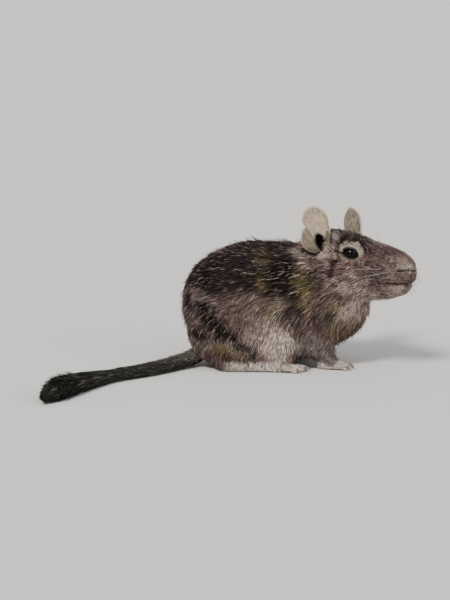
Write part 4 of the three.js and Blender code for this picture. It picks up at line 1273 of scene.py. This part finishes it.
def join_tubes(name, tubes, values=None):
    """Tubes as one mesh, with named values on their corners."""
    corners, quads, triangles, start = [], [], [], 0
    for c, q, t in tubes:
        corners.append(c)
        quads.append(q + start)
        triangles.append(t + start)
        start += len(c)
    faces = [np.concatenate(quads), np.concatenate(triangles)]
    return make_mesh(name, np.concatenate(corners), faces, values)


LID_RIM_OUT = 0.28  # how far outside the eyeball the middle of the rim lies
LID_RIM_THICK = (0.47, 0.12)  # half its thickness, and how much more it is at the corners


def build_lid_rim(name, side):
    """The bare rim of the lids: a thin tube along the almond, on the eyeball, drawn out at its corners."""
    middle, axes = eye_frame(side)
    a = np.linspace(0, 2 * math.pi, 64, endpoint=False)
    drawn_out = 1 + 0.1 * np.cos(a) ** 6
    x = EYE_OPENING[0] * np.cos(a) * drawn_out
    y = EYE_OPENING[1] * np.sin(a)
    radius = EYE_RADIUS + LID_RIM_OUT
    z = np.sqrt(np.clip(radius**2 - x**2 - y**2, 0.3, None))
    path = middle + np.stack([x, y, z], 1) @ axes.T
    thick = LID_RIM_THICK[0] + LID_RIM_THICK[1] * np.abs(np.cos(a)) ** 4
    outward = axes[:, 2]
    return join_tubes(name, [tube(path, thick, 10, up=outward, closed=True)])


NOSE_RADII = (3.1, 2.5, 2.6)  # to the side, up and forward


def from_nostril(x, y):
    """How far a way out from the middle of the nose is from the nearer nostril's slit, in its half-sizes."""
    aside = np.abs(x)
    return np.hypot((aside - 0.66) / 0.36, (y - 0.05 + 0.5 * (aside - 0.62)) / 0.17)


def build_nose():
    """The bare tip of the nose: an ellipsoid with a curved slit for each nostril and a groove between
    them. The slits are near-black with painted shade."""
    centre = on_head(*NOSE_AT)
    axes = HEAD_AXES[:, [1, 2, 0]]  # left, up and forward

    def radius(tilt, around):
        x, y, z = np.sin(tilt) * np.cos(around), np.sin(tilt) * np.sin(around), np.cos(tilt) + 0 * around
        wide, tall, deep = NOSE_RADII
        base = 1 / np.sqrt((x / wide) ** 2 + (y / tall) ** 2 + (z / deep) ** 2)
        groove = np.exp(-((x / 0.09) ** 2)) * smooth(y, 0.25, -0.1)
        return base - 1.2 * smooth(from_nostril(x, y), 1.35, 0.4) * (z > -0.3) - 0.3 * groove * (z > 0)

    nose = ball("nose_tip", centre, axes, radius, rows=48, columns=72)
    corners = np.empty(3 * len(nose.data.vertices), np.float32)
    nose.data.vertices.foreach_get("co", corners)
    x, y, z = ((corners.reshape(-1, 3) / MM - SHIFT - centre) @ axes).T
    far = np.sqrt(x * x + y * y + z * z)
    # Painted shade in the nostril slits
    dark = smooth(from_nostril(x / far, y / far), 1.5, 0.9) * (z > -0.3 * far)
    nose.data.attributes.new("darker", "FLOAT", "POINT").data.foreach_set("value", dark.astype(np.float32))
    return nose


def build_claws():
    """A curved, tapered claw at the end of each toe."""
    tubes = []
    for limb in LIMBS.values():
        for toe in limb["toes"]:
            line, ahead = toe_line(limb, *toe)
            tip = line[-1] + 0.2 * ahead
            s = np.linspace(0, 1, 9)
            arch = 0.5 + 0.5 * np.sin(2.4 * s) - 1.5 * s**2
            path = tip + ahead * (limb["claw"] * s)[:, None] + np.array([0, 0, 1]) * arch[:, None]
            path[:, 2] = np.maximum(path[:, 2], 0.3)
            tubes.append(tube(path, 0.62 * (1 - s) ** 0.7 + 0.06, 8, flat=1.25))
    return join_tubes("claws", tubes)


PAD_ROWS = 4  # rows of whiskers on each pad, with as many in each row
LIP_HAIRS = 13


def build_whiskers():
    """Long thin hairs in rows on each whisker pad, swept out and back, short ones round the front of the
    lips, and two over each eye. Most of them are dark."""
    tubes, darker = [], []

    def add(path, thick, thin, dark):
        """One hair, which tapers evenly along its path."""
        shares = np.linspace(0, 1, len(path))
        tubes.append(tube(path, thick * (1 - shares) + thin, 5))
        darker.append(dark)

    for side in SIDES.values():
        grid = np.meshgrid(np.arange(PAD_ROWS), np.arange(PAD_ROWS), indexing="ij")
        rows, along = (v.ravel() for v in grid)
        forward = MUZZLE_CENTRE + 3.2 - 2.5 * along + 0.5 * rows
        up = 1.4 - 1.5 * rows
        length = 6.5 + 3.8 * along + rng.uniform(-1.2, 1.2, PAD_ROWS**2)
        for f, u, size, row in zip(forward, up, length, rows):
            start = on_head(f, 4.0, u, side)
            backward = -0.35 + 0.08 * rng.normal()
            upward = 0.12 - 0.2 * row + 0.06 * rng.normal()
            toward = HEAD_AXES @ np.array([backward, side * 0.95, upward])
            toward /= np.linalg.norm(toward)
            s = np.linspace(0, 1, 12)[:, None]
            droop = -0.16 * size * s**2 * HEAD_AXES[:, 2] - 0.25 * size * s**2 * HEAD_AXES[:, 0]
            path = start - toward + toward * (size + 1) * s + droop
            add(path, 0.13, 0.04, rng.random() < 0.7)
        for i in range(LIP_HAIRS):
            s = np.linspace(0, 1, 7)[:, None]
            size = rng.uniform(3.5, 6.0)
            u = 3.6 - 0.8 * i
            start = on_head(MUZZLE_CENTRE + 6.0 - 0.04 * u * u, 2.2 + 0.08 * i, u, side)
            aside = side * (0.35 + 0.1 * rng.normal())
            upward = 0.35 - 0.1 * i + 0.08 * rng.normal()
            toward = HEAD_AXES @ np.array([1.0, aside, upward])
            toward /= np.linalg.norm(toward)
            path = start + toward * size * s - 0.12 * size * s**2 * HEAD_AXES[:, 2]
            add(path, 0.12, 0.04, rng.random() < 0.8)
        for f in (17.5, 18.8):
            s = np.linspace(0, 1, 10)[:, None]
            toward = HEAD_AXES @ np.array([-0.5, side * 0.75, 0.75])
            path = on_head(f, 7.0, 11.0, side) + toward * 8 * s - 2.5 * s**2 * HEAD_AXES[:, 0]
            add(path, 0.07, 0.02, True)
    values = np.concatenate([np.full(len(hair[0]), float(dark)) for hair, dark in zip(tubes, darker)])
    return join_tubes("whiskers", tubes, {"darker": values})


# The tail


def tail_frame(shares):
    """The middle, radius with the coat, and axes of the tail at shares of its points: along, aside and
    over."""
    middle = curve(TAIL_POINTS, shares)
    radius = curve([[r, 0, 0] for r in TAIL_RADII], shares)[:, 0]
    ahead = curve(TAIL_POINTS, np.asarray(shares) + 0.01) - curve(TAIL_POINTS, np.asarray(shares) - 0.01)
    ahead /= np.linalg.norm(ahead, axis=1, keepdims=True)
    aside = np.cross([0, 0, 1], ahead)
    aside /= np.linalg.norm(aside, axis=1, keepdims=True)
    return middle, radius, ahead, aside, np.cross(ahead, aside)


TAIL_LENGTH = np.linalg.norm(np.diff(curve(TAIL_POINTS, np.linspace(0, 1, 200)), axis=0), axis=1).sum()
TAIL_RINGS = 150
TAIL_SIDES = 20
# Bristles of two kinds: how many, from which share of the tail to which, their length, their splay as a
# share of it and their width, and whether they close in again to the tip of the tail
SHORT_BRISTLES = dict(count=7500, first=0.0, last=0.93, length=5.0, splay=0.26, width=0.3, brush=False)
BRUSH_BRISTLES = dict(count=5200, first=0.46, last=0.985, length=16.0, splay=0.28, width=0.42, brush=True)


def build_tail():
    """The skin of the tail: its radius less the coat, carried along it, with rings of fine scales."""
    shares = np.linspace(0, 1, TAIL_RINGS)
    middle, radius, *_ = tail_frame(shares)
    at_tip = np.maximum(0, (shares - 0.96) / 0.04)
    bare = (radius - TAIL_COAT) * np.sqrt(np.clip(1 - at_tip**2, 0.01, 1))
    scales = 0.08 * np.sin(shares * TAIL_RINGS * 2.2)
    corners, quads, triangles = tube(middle, bare + scales, TAIL_SIDES)
    corners[:, 2] = np.maximum(corners[:, 2], 0.15)
    marks = tail_marks(np.append(np.repeat(shares, TAIL_SIDES), [0, 1]), corners[:, 2])
    return make_mesh("tail_skin", corners, [quads, triangles], {"marks": marks})


def tail_marks(share, height):
    """Grey on top near the root, dark along its sides, and black in the brush."""
    dark = 0.45 + 0.4 * smooth(share, 0.3, 0.7)
    pale = 0.5 * smooth(share, 0.4, 0.1) * smooth(height, 3.5, 7)
    return np.clip(np.stack([dark, pale, 0 * share], 1), 0, 1)


def tail_tufts(count, first, last, length, splay, width, brush):
    """Bristles along the tail from one share to another. Each starts at the skin, at its own turn round the
    tail, and runs back along it. It rises by its splay, and in the brush closes in again to the tip."""
    share = first + (last - first) * rng.random(count)
    around = rng.uniform(0, 2 * math.pi, count)
    _, radius, _, aside, over = tail_frame(share)
    away = np.cos(around)[:, None] * aside + np.sin(around)[:, None] * over
    size = length * rng.uniform(0.75, 1.15, count)
    if brush:
        size *= 1 - 0.3 * smooth(share, 0.75, 1.0)
        splay = splay * (0.4 + 0.6 * smooth(share, first, first + 0.25))
    rise = splay * size * rng.uniform(0.35, 1.15, count) * np.where(rng.random(count) < 0.06, 1.35, 1.0)
    bare = (radius - TAIL_COAT) * 0.96
    drift = rng.normal(0, 0.1, count)
    lines = []
    for s in STATIONS:
        q_share = share + s * size / TAIL_LENGTH
        q_middle, _, q_ahead, q_aside, q_over = tail_frame(np.clip(q_share, 0, 1))
        past = np.clip(q_share - 1, 0, None) * TAIL_LENGTH
        turn_round = around + drift * s
        q_away = np.cos(turn_round)[:, None] * q_aside + np.sin(turn_round)[:, None] * q_over
        lift = bare + rise * (1 - (1 - s) ** 1.5)
        closing = 1 - np.clip(past / 13, 0, 0.85) if brush else 1.0
        lines.append(q_middle + q_ahead * past[:, None] + q_away * (lift * closing)[:, None])
    lines = np.stack(lines, 1)
    floor = 0.3 + 0.9 * rng.random(count)[:, None] * np.array([1, 0.9, 0.7, 0.4])
    lines[..., 2] = np.maximum(lines[..., 2], floor)
    tone = np.clip(rng.normal(0.42, 0.2, count), 0, 1)
    marks = tail_marks(share, lines[:, 0, 2])
    streak = rng.random(count) < 0.12
    marks[:, 1] = np.where(streak, marks[:, 1] + 0.35, marks[:, 1])
    uv = np.stack([0.02 + 0.96 * (share - first) / (last - first), 0.02 + 0.96 * around / (2 * math.pi)], 1)
    return dict(root=lines[:, 0], lines=lines, normal=away, width=width * rng.uniform(0.8, 1.25, count),
                marks=np.clip(marks, 0, 1), tone=tone, hue=rng.random(count), uv=uv)


# Materials


def srgb(red, green, blue):
    """A colour given as it looks on a screen, from 0 to 255, as the shader's linear values."""
    shares = [c / 255 for c in (red, green, blue)]
    linear = [v / 12.92 if v <= 0.04045 else ((v + 0.055) / 1.055) ** 2.4 for v in shares]
    return (*linear, 1.0)


def node_group(name, inputs, outputs):
    """An empty shader group with named sockets, and its two ends."""
    group = bpy.data.node_groups.new(name, "ShaderNodeTree")
    for label, kind, value in inputs:
        socket = group.interface.new_socket(label, in_out="INPUT", socket_type=kind)
        socket.default_value = value
    for label, kind in outputs:
        group.interface.new_socket(label, in_out="OUTPUT", socket_type=kind)
    return group, group.nodes.new("NodeGroupInput"), group.nodes.new("NodeGroupOutput")


def plug(tree, socket, value):
    """Gives a socket a constant, or links another socket to it."""
    if isinstance(value, bpy.types.NodeSocket):
        tree.links.new(value, socket)
    else:
        socket.default_value = value


def mixed(tree, share, first, second, blend="MIX"):
    """A colour mix node, whose share and colours are sockets or values."""
    node = tree.nodes.new("ShaderNodeMix")
    node.data_type = "RGBA"
    node.blend_type = blend
    for index, value in ((0, share), (6, first), (7, second)):
        plug(tree, node.inputs[index], value)
    return node.outputs[2]


def product(tree, first, second):
    """One number times another, which are sockets or values."""
    node = tree.nodes.new("ShaderNodeMath")
    node.operation = "MULTIPLY"
    plug(tree, node.inputs[0], first)
    plug(tree, node.inputs[1], second)
    return node.outputs[0]


def ranged(tree, value, low, high, new_low, new_high):
    """A value moved from one range to another."""
    node = tree.nodes.new("ShaderNodeMapRange")
    tree.links.new(value, node.inputs[0])
    for socket, number in zip(node.inputs[1:5], (low, high, new_low, new_high)):
        socket.default_value = number
    return node.outputs[0]


def speckle(tree, scale, detail=3.0, stretch=(1, 1, 1)):
    """Noise on the object's coordinates, in metres."""
    place = tree.nodes.new("ShaderNodeTexCoord")
    mapping = tree.nodes.new("ShaderNodeMapping")
    mapping.inputs["Scale"].default_value = stretch
    grain = tree.nodes.new("ShaderNodeTexNoise")
    grain.inputs["Scale"].default_value = scale
    grain.inputs["Detail"].default_value = detail
    tree.links.new(place.outputs["Object"], mapping.inputs["Vector"])
    tree.links.new(mapping.outputs["Vector"], grain.inputs["Vector"])
    return grain.outputs[0]


# Cells of noise to the metre, in the coat's uneven tone and in its bump
COAT_SPECKLE = 420.0
HAIR_BUMP = 5200.0


def coat_colour_group():
    """The colour of hair: the ground, warmed by its hue, darkened, turned ochre and then pale by its marks,
    with the tone of its strand, darker at the root than at the tip. Also the height of its bump."""
    group, start, end = node_group("coat colour", [
        ("Marks", "NodeSocketVector", (0, 0, 0)),
        ("Strand", "NodeSocketVector", (0.4, 0.5, 0.5)),
        ("Ground", "NodeSocketColor", (0.2, 0.2, 0.2, 1)),
        ("Dark", "NodeSocketColor", (0.02, 0.02, 0.02, 1)),
        ("Ochre", "NodeSocketColor", (0.3, 0.2, 0.1, 1)),
        ("Pale", "NodeSocketColor", (0.7, 0.6, 0.5, 1)),
        ("Warm", "NodeSocketColor", (0.4, 0.3, 0.3, 1)),
    ], [("Color", "NodeSocketColor"), ("Height", "NodeSocketFloat")])
    marks = group.nodes.new("ShaderNodeSeparateXYZ")
    strand = group.nodes.new("ShaderNodeSeparateXYZ")
    group.links.new(start.outputs["Marks"], marks.inputs[0])
    group.links.new(start.outputs["Strand"], strand.inputs[0])
    dark, pale, ochre = marks.outputs
    along, tone, hue = strand.outputs
    warmth = ranged(group, hue, 0.5, 1.0, 0.0, 0.55)
    colour = mixed(group, warmth, start.outputs["Ground"], start.outputs["Warm"])
    for share, tint in ((dark, "Dark"), (ochre, "Ochre"), (pale, "Pale")):
        colour = mixed(group, share, colour, start.outputs[tint])
    # Darker towards the root: the hair's own darker base, and painted shade deep in the coat
    shade = product(group, ranged(group, tone, 0.0, 1.0, 0.4, 1.75), ranged(group, along, 0.0, 0.8, 0.7, 1.1))
    shade = product(group, shade, ranged(group, speckle(group, COAT_SPECKLE), 0.3, 0.7, 0.85, 1.15))
    grey = group.nodes.new("ShaderNodeCombineColor")
    for socket in grey.inputs[:3]:
        group.links.new(shade, socket)
    colour = mixed(group, 1.0, colour, grey.outputs[0], "MULTIPLY")
    group.links.new(colour, end.inputs["Color"])
    group.links.new(speckle(group, HAIR_BUMP, 2.0), end.inputs["Height"])
    return group


COAT_COLOUR = coat_colour_group()


def principled(name, **settings):
    """A material with one Principled shader, and its tree and shader. A setting's name has _ for each
    space."""
    material = bpy.data.materials.new(name)
    material.use_nodes = True
    shader = material.node_tree.nodes["Principled BSDF"]
    for key, value in settings.items():
        shader.inputs[key.replace("_", " ")].default_value = value
    return material, material.node_tree, shader


def grain_group():
    """Two tones mixed by noise of a size, and noise four times as fine for the bump."""
    group, start, end = node_group("grain", [
        ("First", "NodeSocketColor", (0.2, 0.2, 0.2, 1)),
        ("Second", "NodeSocketColor", (0.4, 0.4, 0.4, 1)),
        ("Scale", "NodeSocketFloat", 500.0),
    ], [("Color", "NodeSocketColor"), ("Height", "NodeSocketFloat")])
    place = group.nodes.new("ShaderNodeTexCoord")
    heights = []
    for scale in (start.outputs["Scale"], product(group, start.outputs["Scale"], 4.0)):
        node = group.nodes.new("ShaderNodeTexNoise")
        node.inputs["Detail"].default_value = 4.0
        group.links.new(place.outputs["Object"], node.inputs["Vector"])
        group.links.new(scale, node.inputs["Scale"])
        heights.append(node.outputs[0])
    share = ranged(group, heights[0], 0.38, 0.62, 0.0, 1.0)
    colour = mixed(group, share, start.outputs["First"], start.outputs["Second"])
    group.links.new(colour, end.inputs["Color"])
    group.links.new(heights[1], end.inputs["Height"])
    return group


GRAIN = grain_group()


def grain(tree, first, second, scale):
    """A grain node between two colours: its colour and its height."""
    node = tree.nodes.new("ShaderNodeGroup")
    node.node_tree = GRAIN
    for key, value in (("First", first), ("Second", second), ("Scale", scale)):
        node.inputs[key].default_value = value
    return node.outputs["Color"], node.outputs["Height"]


def bumped(tree, shader, height, strength, distance):
    """The shader's normal is tilted by a height."""
    node = tree.nodes.new("ShaderNodeBump")
    node.inputs["Strength"].default_value = strength
    node.inputs["Distance"].default_value = distance
    tree.links.new(height, node.inputs["Height"])
    tree.links.new(node.outputs[0], shader.inputs["Normal"])


def attribute(tree, name, output="Vector"):
    """The numbers that a piece holds on its corners under a name."""
    node = tree.nodes.new("ShaderNodeAttribute")
    node.attribute_name = name
    return node.outputs[output]


BACK_FUR = srgb(112, 96, 90)
PALE_FUR = srgb(214, 195, 182)
DARK_FUR = srgb(38, 28, 27)
OCHRE_FUR = srgb(132, 117, 78)
WARM_FUR = srgb(128, 95, 91)


def coat_material(name, ground, dark=DARK_FUR, ochre=OCHRE_FUR, pale=PALE_FUR, warm=WARM_FUR, skin=False):
    """Hair, or the skin under it, which has the same markings and no strands."""
    material, tree, shader = principled(name, Roughness=0.8, Specular_IOR_Level=0.14)
    group = tree.nodes.new("ShaderNodeGroup")
    group.node_tree = COAT_COLOUR
    for key, value in dict(Ground=ground, Dark=dark, Ochre=ochre, Pale=pale, Warm=warm).items():
        group.inputs[key].default_value = value
    tree.links.new(attribute(tree, "marks"), group.inputs["Marks"])
    if skin:
        # The skin takes the tone of a hair's root: the darker undercoat, and painted shade deep in the coat
        group.inputs["Strand"].default_value = (0.1, 0.4, 0.4)
    else:
        tree.links.new(attribute(tree, "strand"), group.inputs["Strand"])
    tree.links.new(group.outputs["Color"], shader.inputs["Base Color"])
    bumped(tree, shader, group.outputs["Height"], 0.35, 0.00015)
    return material


def eye_material():
    """A wet eye, almost black with a trace of brown."""
    material, tree, shader = principled("wet black eye", Roughness=0.03, IOR=1.36, Specular_IOR_Level=0.24)
    colour, _ = grain(tree, srgb(2, 2, 2), srgb(5, 4, 3), 600.0)
    tree.links.new(colour, shader.inputs["Base Color"])
    return material


def grained_material(name, first, second, roughness, scale, strength, distance, darker=None):
    """Bare skin, horn or hair in two tones with a fine grain, and in a darker one where the piece says so."""
    material, tree, shader = principled(name, Roughness=roughness)
    colour, height = grain(tree, first, second, scale)
    if darker:
        colour = mixed(tree, attribute(tree, "darker", "Fac"), colour, darker)
    tree.links.new(colour, shader.inputs["Base Color"])
    bumped(tree, shader, height, strength, distance)
    return material


def ear_material():
    """Thin skin: cream on the inside of the leaf, grey-cream on its lobe and outside, with a pale rim and
    faint veins, and painted shade along the crease, in the groove inside the rolled rim and dark deep in the
    cup.
    Each tone is laid over the last by a mask."""
    material, tree, shader = principled("ear skin", Roughness=0.7, Specular_IOR_Level=0.12)
    leaf = tree.nodes.new("ShaderNodeSeparateXYZ")
    tree.links.new(attribute(tree, "leaf"), leaf.inputs[0])
    share, cup, within = leaf.outputs
    place = tree.nodes.new("ShaderNodeSeparateXYZ")
    tree.links.new(attribute(tree, "place"), place.inputs[0])
    crease, rolled, lobe = place.outputs
    cream, height = grain(tree, srgb(214, 196, 168), srgb(180, 160, 136), 330.0)
    grey, _ = grain(tree, srgb(132, 119, 110), srgb(100, 88, 80), 300.0)
    veins = speckle(tree, 340.0, 5.0, (1.0, 1.0, 0.25))
    colour = cream
    for value, low, high, at_low, at_high, tone in (
        (lobe, 0.2, 0.8, 0.0, 0.9, grey),
        (within, 0.4, 0.6, 1.0, 0.0, grey),
        # painted shade along the crease
        (crease, 0.0, 1.0, 0.0, 0.6, srgb(96, 78, 62)),
        (veins, 0.54, 0.64, 0.0, 0.5, srgb(122, 98, 86)),
        (share, 0.93, 0.99, 0.0, 0.6, srgb(224, 210, 196)),
        # painted shade in the groove inside the rolled rim
        (rolled, 0.1, 0.9, 0.0, 0.75, srgb(70, 58, 50)),
        # painted shade deep in the cup
        (cup, 0.05, 0.4, 0.0, 1.0, srgb(30, 25, 25)),
    ):
        colour = mixed(tree, ranged(tree, value, low, high, at_low, at_high), colour, tone)
    tree.links.new(colour, shader.inputs["Base Color"])
    bumped(tree, shader, height, 0.5, 0.0002)
    shader.inputs["Subsurface Weight"].default_value = 0.06
    shader.inputs["Subsurface Scale"].default_value = 0.001
    return material


def finish(piece, slot, material, *nodes):
    """The piece gets its material, rides on the animal and stands for solids, which are hidden. Its slot is
    not used.
    """
    piece.data.materials.append(material)
    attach(piece, "root")
    if nodes:
        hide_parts(*nodes)
    return piece


# The camera, the floor and the lights

CAMERA_TARGET = np.array([-18.5, 0.0, 32.0])
CAMERA_DISTANCE = 900.0
CAMERA_ELEVATION = math.radians(10)
FIELD_OF_VIEW = 300.0  # millimetres from the top to the bottom of the picture, at the target
SENSOR = 36.0


def aim(thing, at, target):
    """Puts a camera or a light at a point, in millimetres, looking at another."""
    at, target = to_frame(at), to_frame(target)
    look = (target - at) / np.linalg.norm(target - at)
    right = np.cross(look, (0, 0, 1))
    right /= np.linalg.norm(right)
    matrix = np.eye(4)
    matrix[:3] = np.stack([right, np.cross(right, look), -look, at], 1)
    thing.matrix_world = Matrix(matrix.tolist())
    bpy.context.scene.collection.objects.link(thing)
    return thing


def add_camera():
    """The camera, with the picture's framing."""
    data = bpy.data.cameras.new("camera")
    data.sensor_width = SENSOR
    data.lens = SENSOR * CAMERA_DISTANCE / FIELD_OF_VIEW
    data.clip_start = 0.01
    data.clip_end = 200.0
    back = np.array([0, -math.cos(CAMERA_ELEVATION), math.sin(CAMERA_ELEVATION)])
    camera = aim(bpy.data.objects.new("camera", data), CAMERA_TARGET + CAMERA_DISTANCE * back, CAMERA_TARGET)
    bpy.context.scene.camera = camera


def add_sun(name, azimuth, elevation, strength, colour, spread):
    """A soft sun from an azimuth to the camera's right, and from an elevation, both in degrees."""
    data = bpy.data.lights.new(name, "SUN")
    data.energy = strength
    data.color = colour
    data.angle = math.radians(spread)
    a, e = math.radians(azimuth), math.radians(elevation)
    toward = 1000 * np.array([math.sin(a) * math.cos(e), -math.cos(a) * math.cos(e), math.sin(e)])
    aim(bpy.data.objects.new(name, data), toward, (0, 0, 0))


FLOOR_RADIUS = 60000.0
FLOOR_SIDES = 96


def add_floor():
    """A wide round floor, pale and matt, which fills the picture behind the animal."""
    angle = np.linspace(0, 2 * math.pi, FLOOR_SIDES, endpoint=False)
    rim = FLOOR_RADIUS * np.stack([np.cos(angle), np.sin(angle), 0 * angle], 1)
    floor = make_mesh("floor", np.concatenate([rim, [[0, 0, 0]]]), [fan(FLOOR_SIDES, *ring_of(FLOOR_SIDES))])
    material, _, _ = principled(
        "pale floor", Roughness=0.9, Specular_IOR_Level=0.0, Base_Color=srgb(222, 219, 214))
    floor.data.materials.append(material)


def add_world():
    """An even pale room."""
    world = bpy.data.worlds.new("soft room")
    world.use_nodes = True
    world.node_tree.nodes["Background"].inputs["Color"].default_value = srgb(236, 238, 242)
    world.node_tree.nodes["Background"].inputs["Strength"].default_value = 0.7
    bpy.context.scene.world = world


# The animal put together

add_camera()
add_floor()
add_world()
add_sun("key", -28, 46, 3.0, (1.0, 0.985, 0.965), 16)
add_sun("fill", 50, 30, 0.7, (0.95, 0.97, 1.0), 40)

LIMB_NODES = ("thigh", "shank", "hind_foot", "upper_arm", "forearm", "forefoot")
FLESH = ["head", "neck", "torso"] + [f"{side}_{limb}" for side in SIDES for limb in LIMB_NODES]
HAIR = {
    "back_coat": coat_material("coat of the back", BACK_FUR),
    "flank_coat": coat_material("coat of the flank", srgb(116, 99, 92)),
    "face_coat": coat_material("coat of the face", srgb(122, 103, 98), warm=srgb(146, 102, 98)),
    "nape_coat": coat_material("coat of the nape", srgb(114, 98, 88)),
    "foot_coat": coat_material("coat of the feet", srgb(136, 121, 115), pale=srgb(226, 214, 206)),
    "tail_coat": coat_material(
        "bristles of the tail", srgb(70, 70, 66), dark=srgb(36, 35, 32), pale=srgb(150, 144, 134),
        warm=srgb(78, 74, 66)),
    "ear_skin": coat_material("down of the ears", srgb(150, 132, 118), pale=srgb(222, 204, 180)),
}

corners, quads = surface(skin_field, *SKIN_BOX, VOXEL)
skin = make_mesh("skin", corners, [quads], {"marks": marks_at(corners, parts(corners))})
finish(skin, "back_coat", coat_material("skin under the coat", BACK_FUR, skin=True), *FLESH)

coat, part = grow_coat(corners, quads)
x, y = coat["root"][:, 0], coat["root"][:, 1]
forward = in_head(coat["root"])[:, 0]
trunk, head, haunch = (part == name for name in ("trunk", "head", "haunch"))
limbs = np.isin(part, ["arm", "shank", "foot"])
# Which tufts each piece has, how they are laid on its map, and its slot
PIECES = {
    "coat_rump": (trunk & (x < -8), round_body, "back_coat"),
    "coat_loins": (trunk & (x >= -8) & (x < 19), round_body, "back_coat"),
    "coat_shoulders": (trunk & (x >= 19), round_body, "back_coat"),
    "coat_neck": (part == "neck", round_body, "nape_coat"),
    "coat_cheeks": (head & (forward < 12), round_head, "face_coat"),
    "coat_muzzle": (head & (forward >= 12), round_head, "face_coat"),
    "coat_right_thigh": (haunch & (y < 0), round_body, "flank_coat"),
    "coat_left_thigh": (haunch & (y >= 0), round_body, "flank_coat"),
    "coat_limbs": (limbs, round_limbs, "foot_coat"),
}
for name, (chosen, unwrap, slot) in PIECES.items():
    own = pick(coat, chosen)
    finish(tuft_piece(name, own, unwrap(own["root"])), slot, HAIR[slot])

tail_skin = coat_material("skin of the tail", srgb(60, 60, 62), dark=srgb(30, 31, 33), skin=True)
finish(build_tail(), "tail_coat", tail_skin, "tail_root", "tail_middle", "tail_brush")
for name, kind in (("coat_tail", SHORT_BRISTLES), ("coat_brush", BRUSH_BRISTLES)):
    tufts = tail_tufts(**kind)
    finish(tuft_piece(name, tufts, tufts["uv"]), "tail_coat", HAIR["tail_coat"])

lid_rim = grained_material("rim of the lids", srgb(26, 19, 18), srgb(44, 33, 31), 0.45, 900.0, 0.3, 0.0001)
wet_eye = eye_material()
leaf_skin = ear_material()
for side_name, side in SIDES.items():
    finish(build_eye(f"{side_name}_eyeball", side), "eye", wet_eye, f"{side_name}_eye")
    finish(build_lid_rim(f"{side_name}_lid_rim", side), "face_coat", lid_rim)
    finish(build_ear(f"{side_name}_ear_leaf", side), "ear_skin", leaf_skin, f"{side_name}_ear")
    down = ear_down(side)
    finish(tuft_piece(f"{side_name}_ear_down", down, down["uv"]), "ear_skin", HAIR["ear_skin"])

# The darker tone is painted shade in the nostril slits, near black
bare_nose = grained_material(
    "bare nose", srgb(112, 90, 87), srgb(94, 80, 75), 0.5, 1500.0, 0.5, 0.0002, darker=srgb(20, 15, 15))
horn = grained_material("horn", srgb(70, 58, 54), srgb(128, 112, 102), 0.35, 700.0, 0.3, 0.0001)
stiff_hair = grained_material(
    "whiskers", srgb(188, 180, 172), srgb(150, 140, 134), 0.4, 300.0, 0.1, 0.00005, darker=srgb(38, 30, 28))
finish(build_nose(), "nose_skin", bare_nose, "nose")
finish(build_claws(), "foot_coat", horn)
finish(build_whiskers(), "face_coat", stiff_hair)
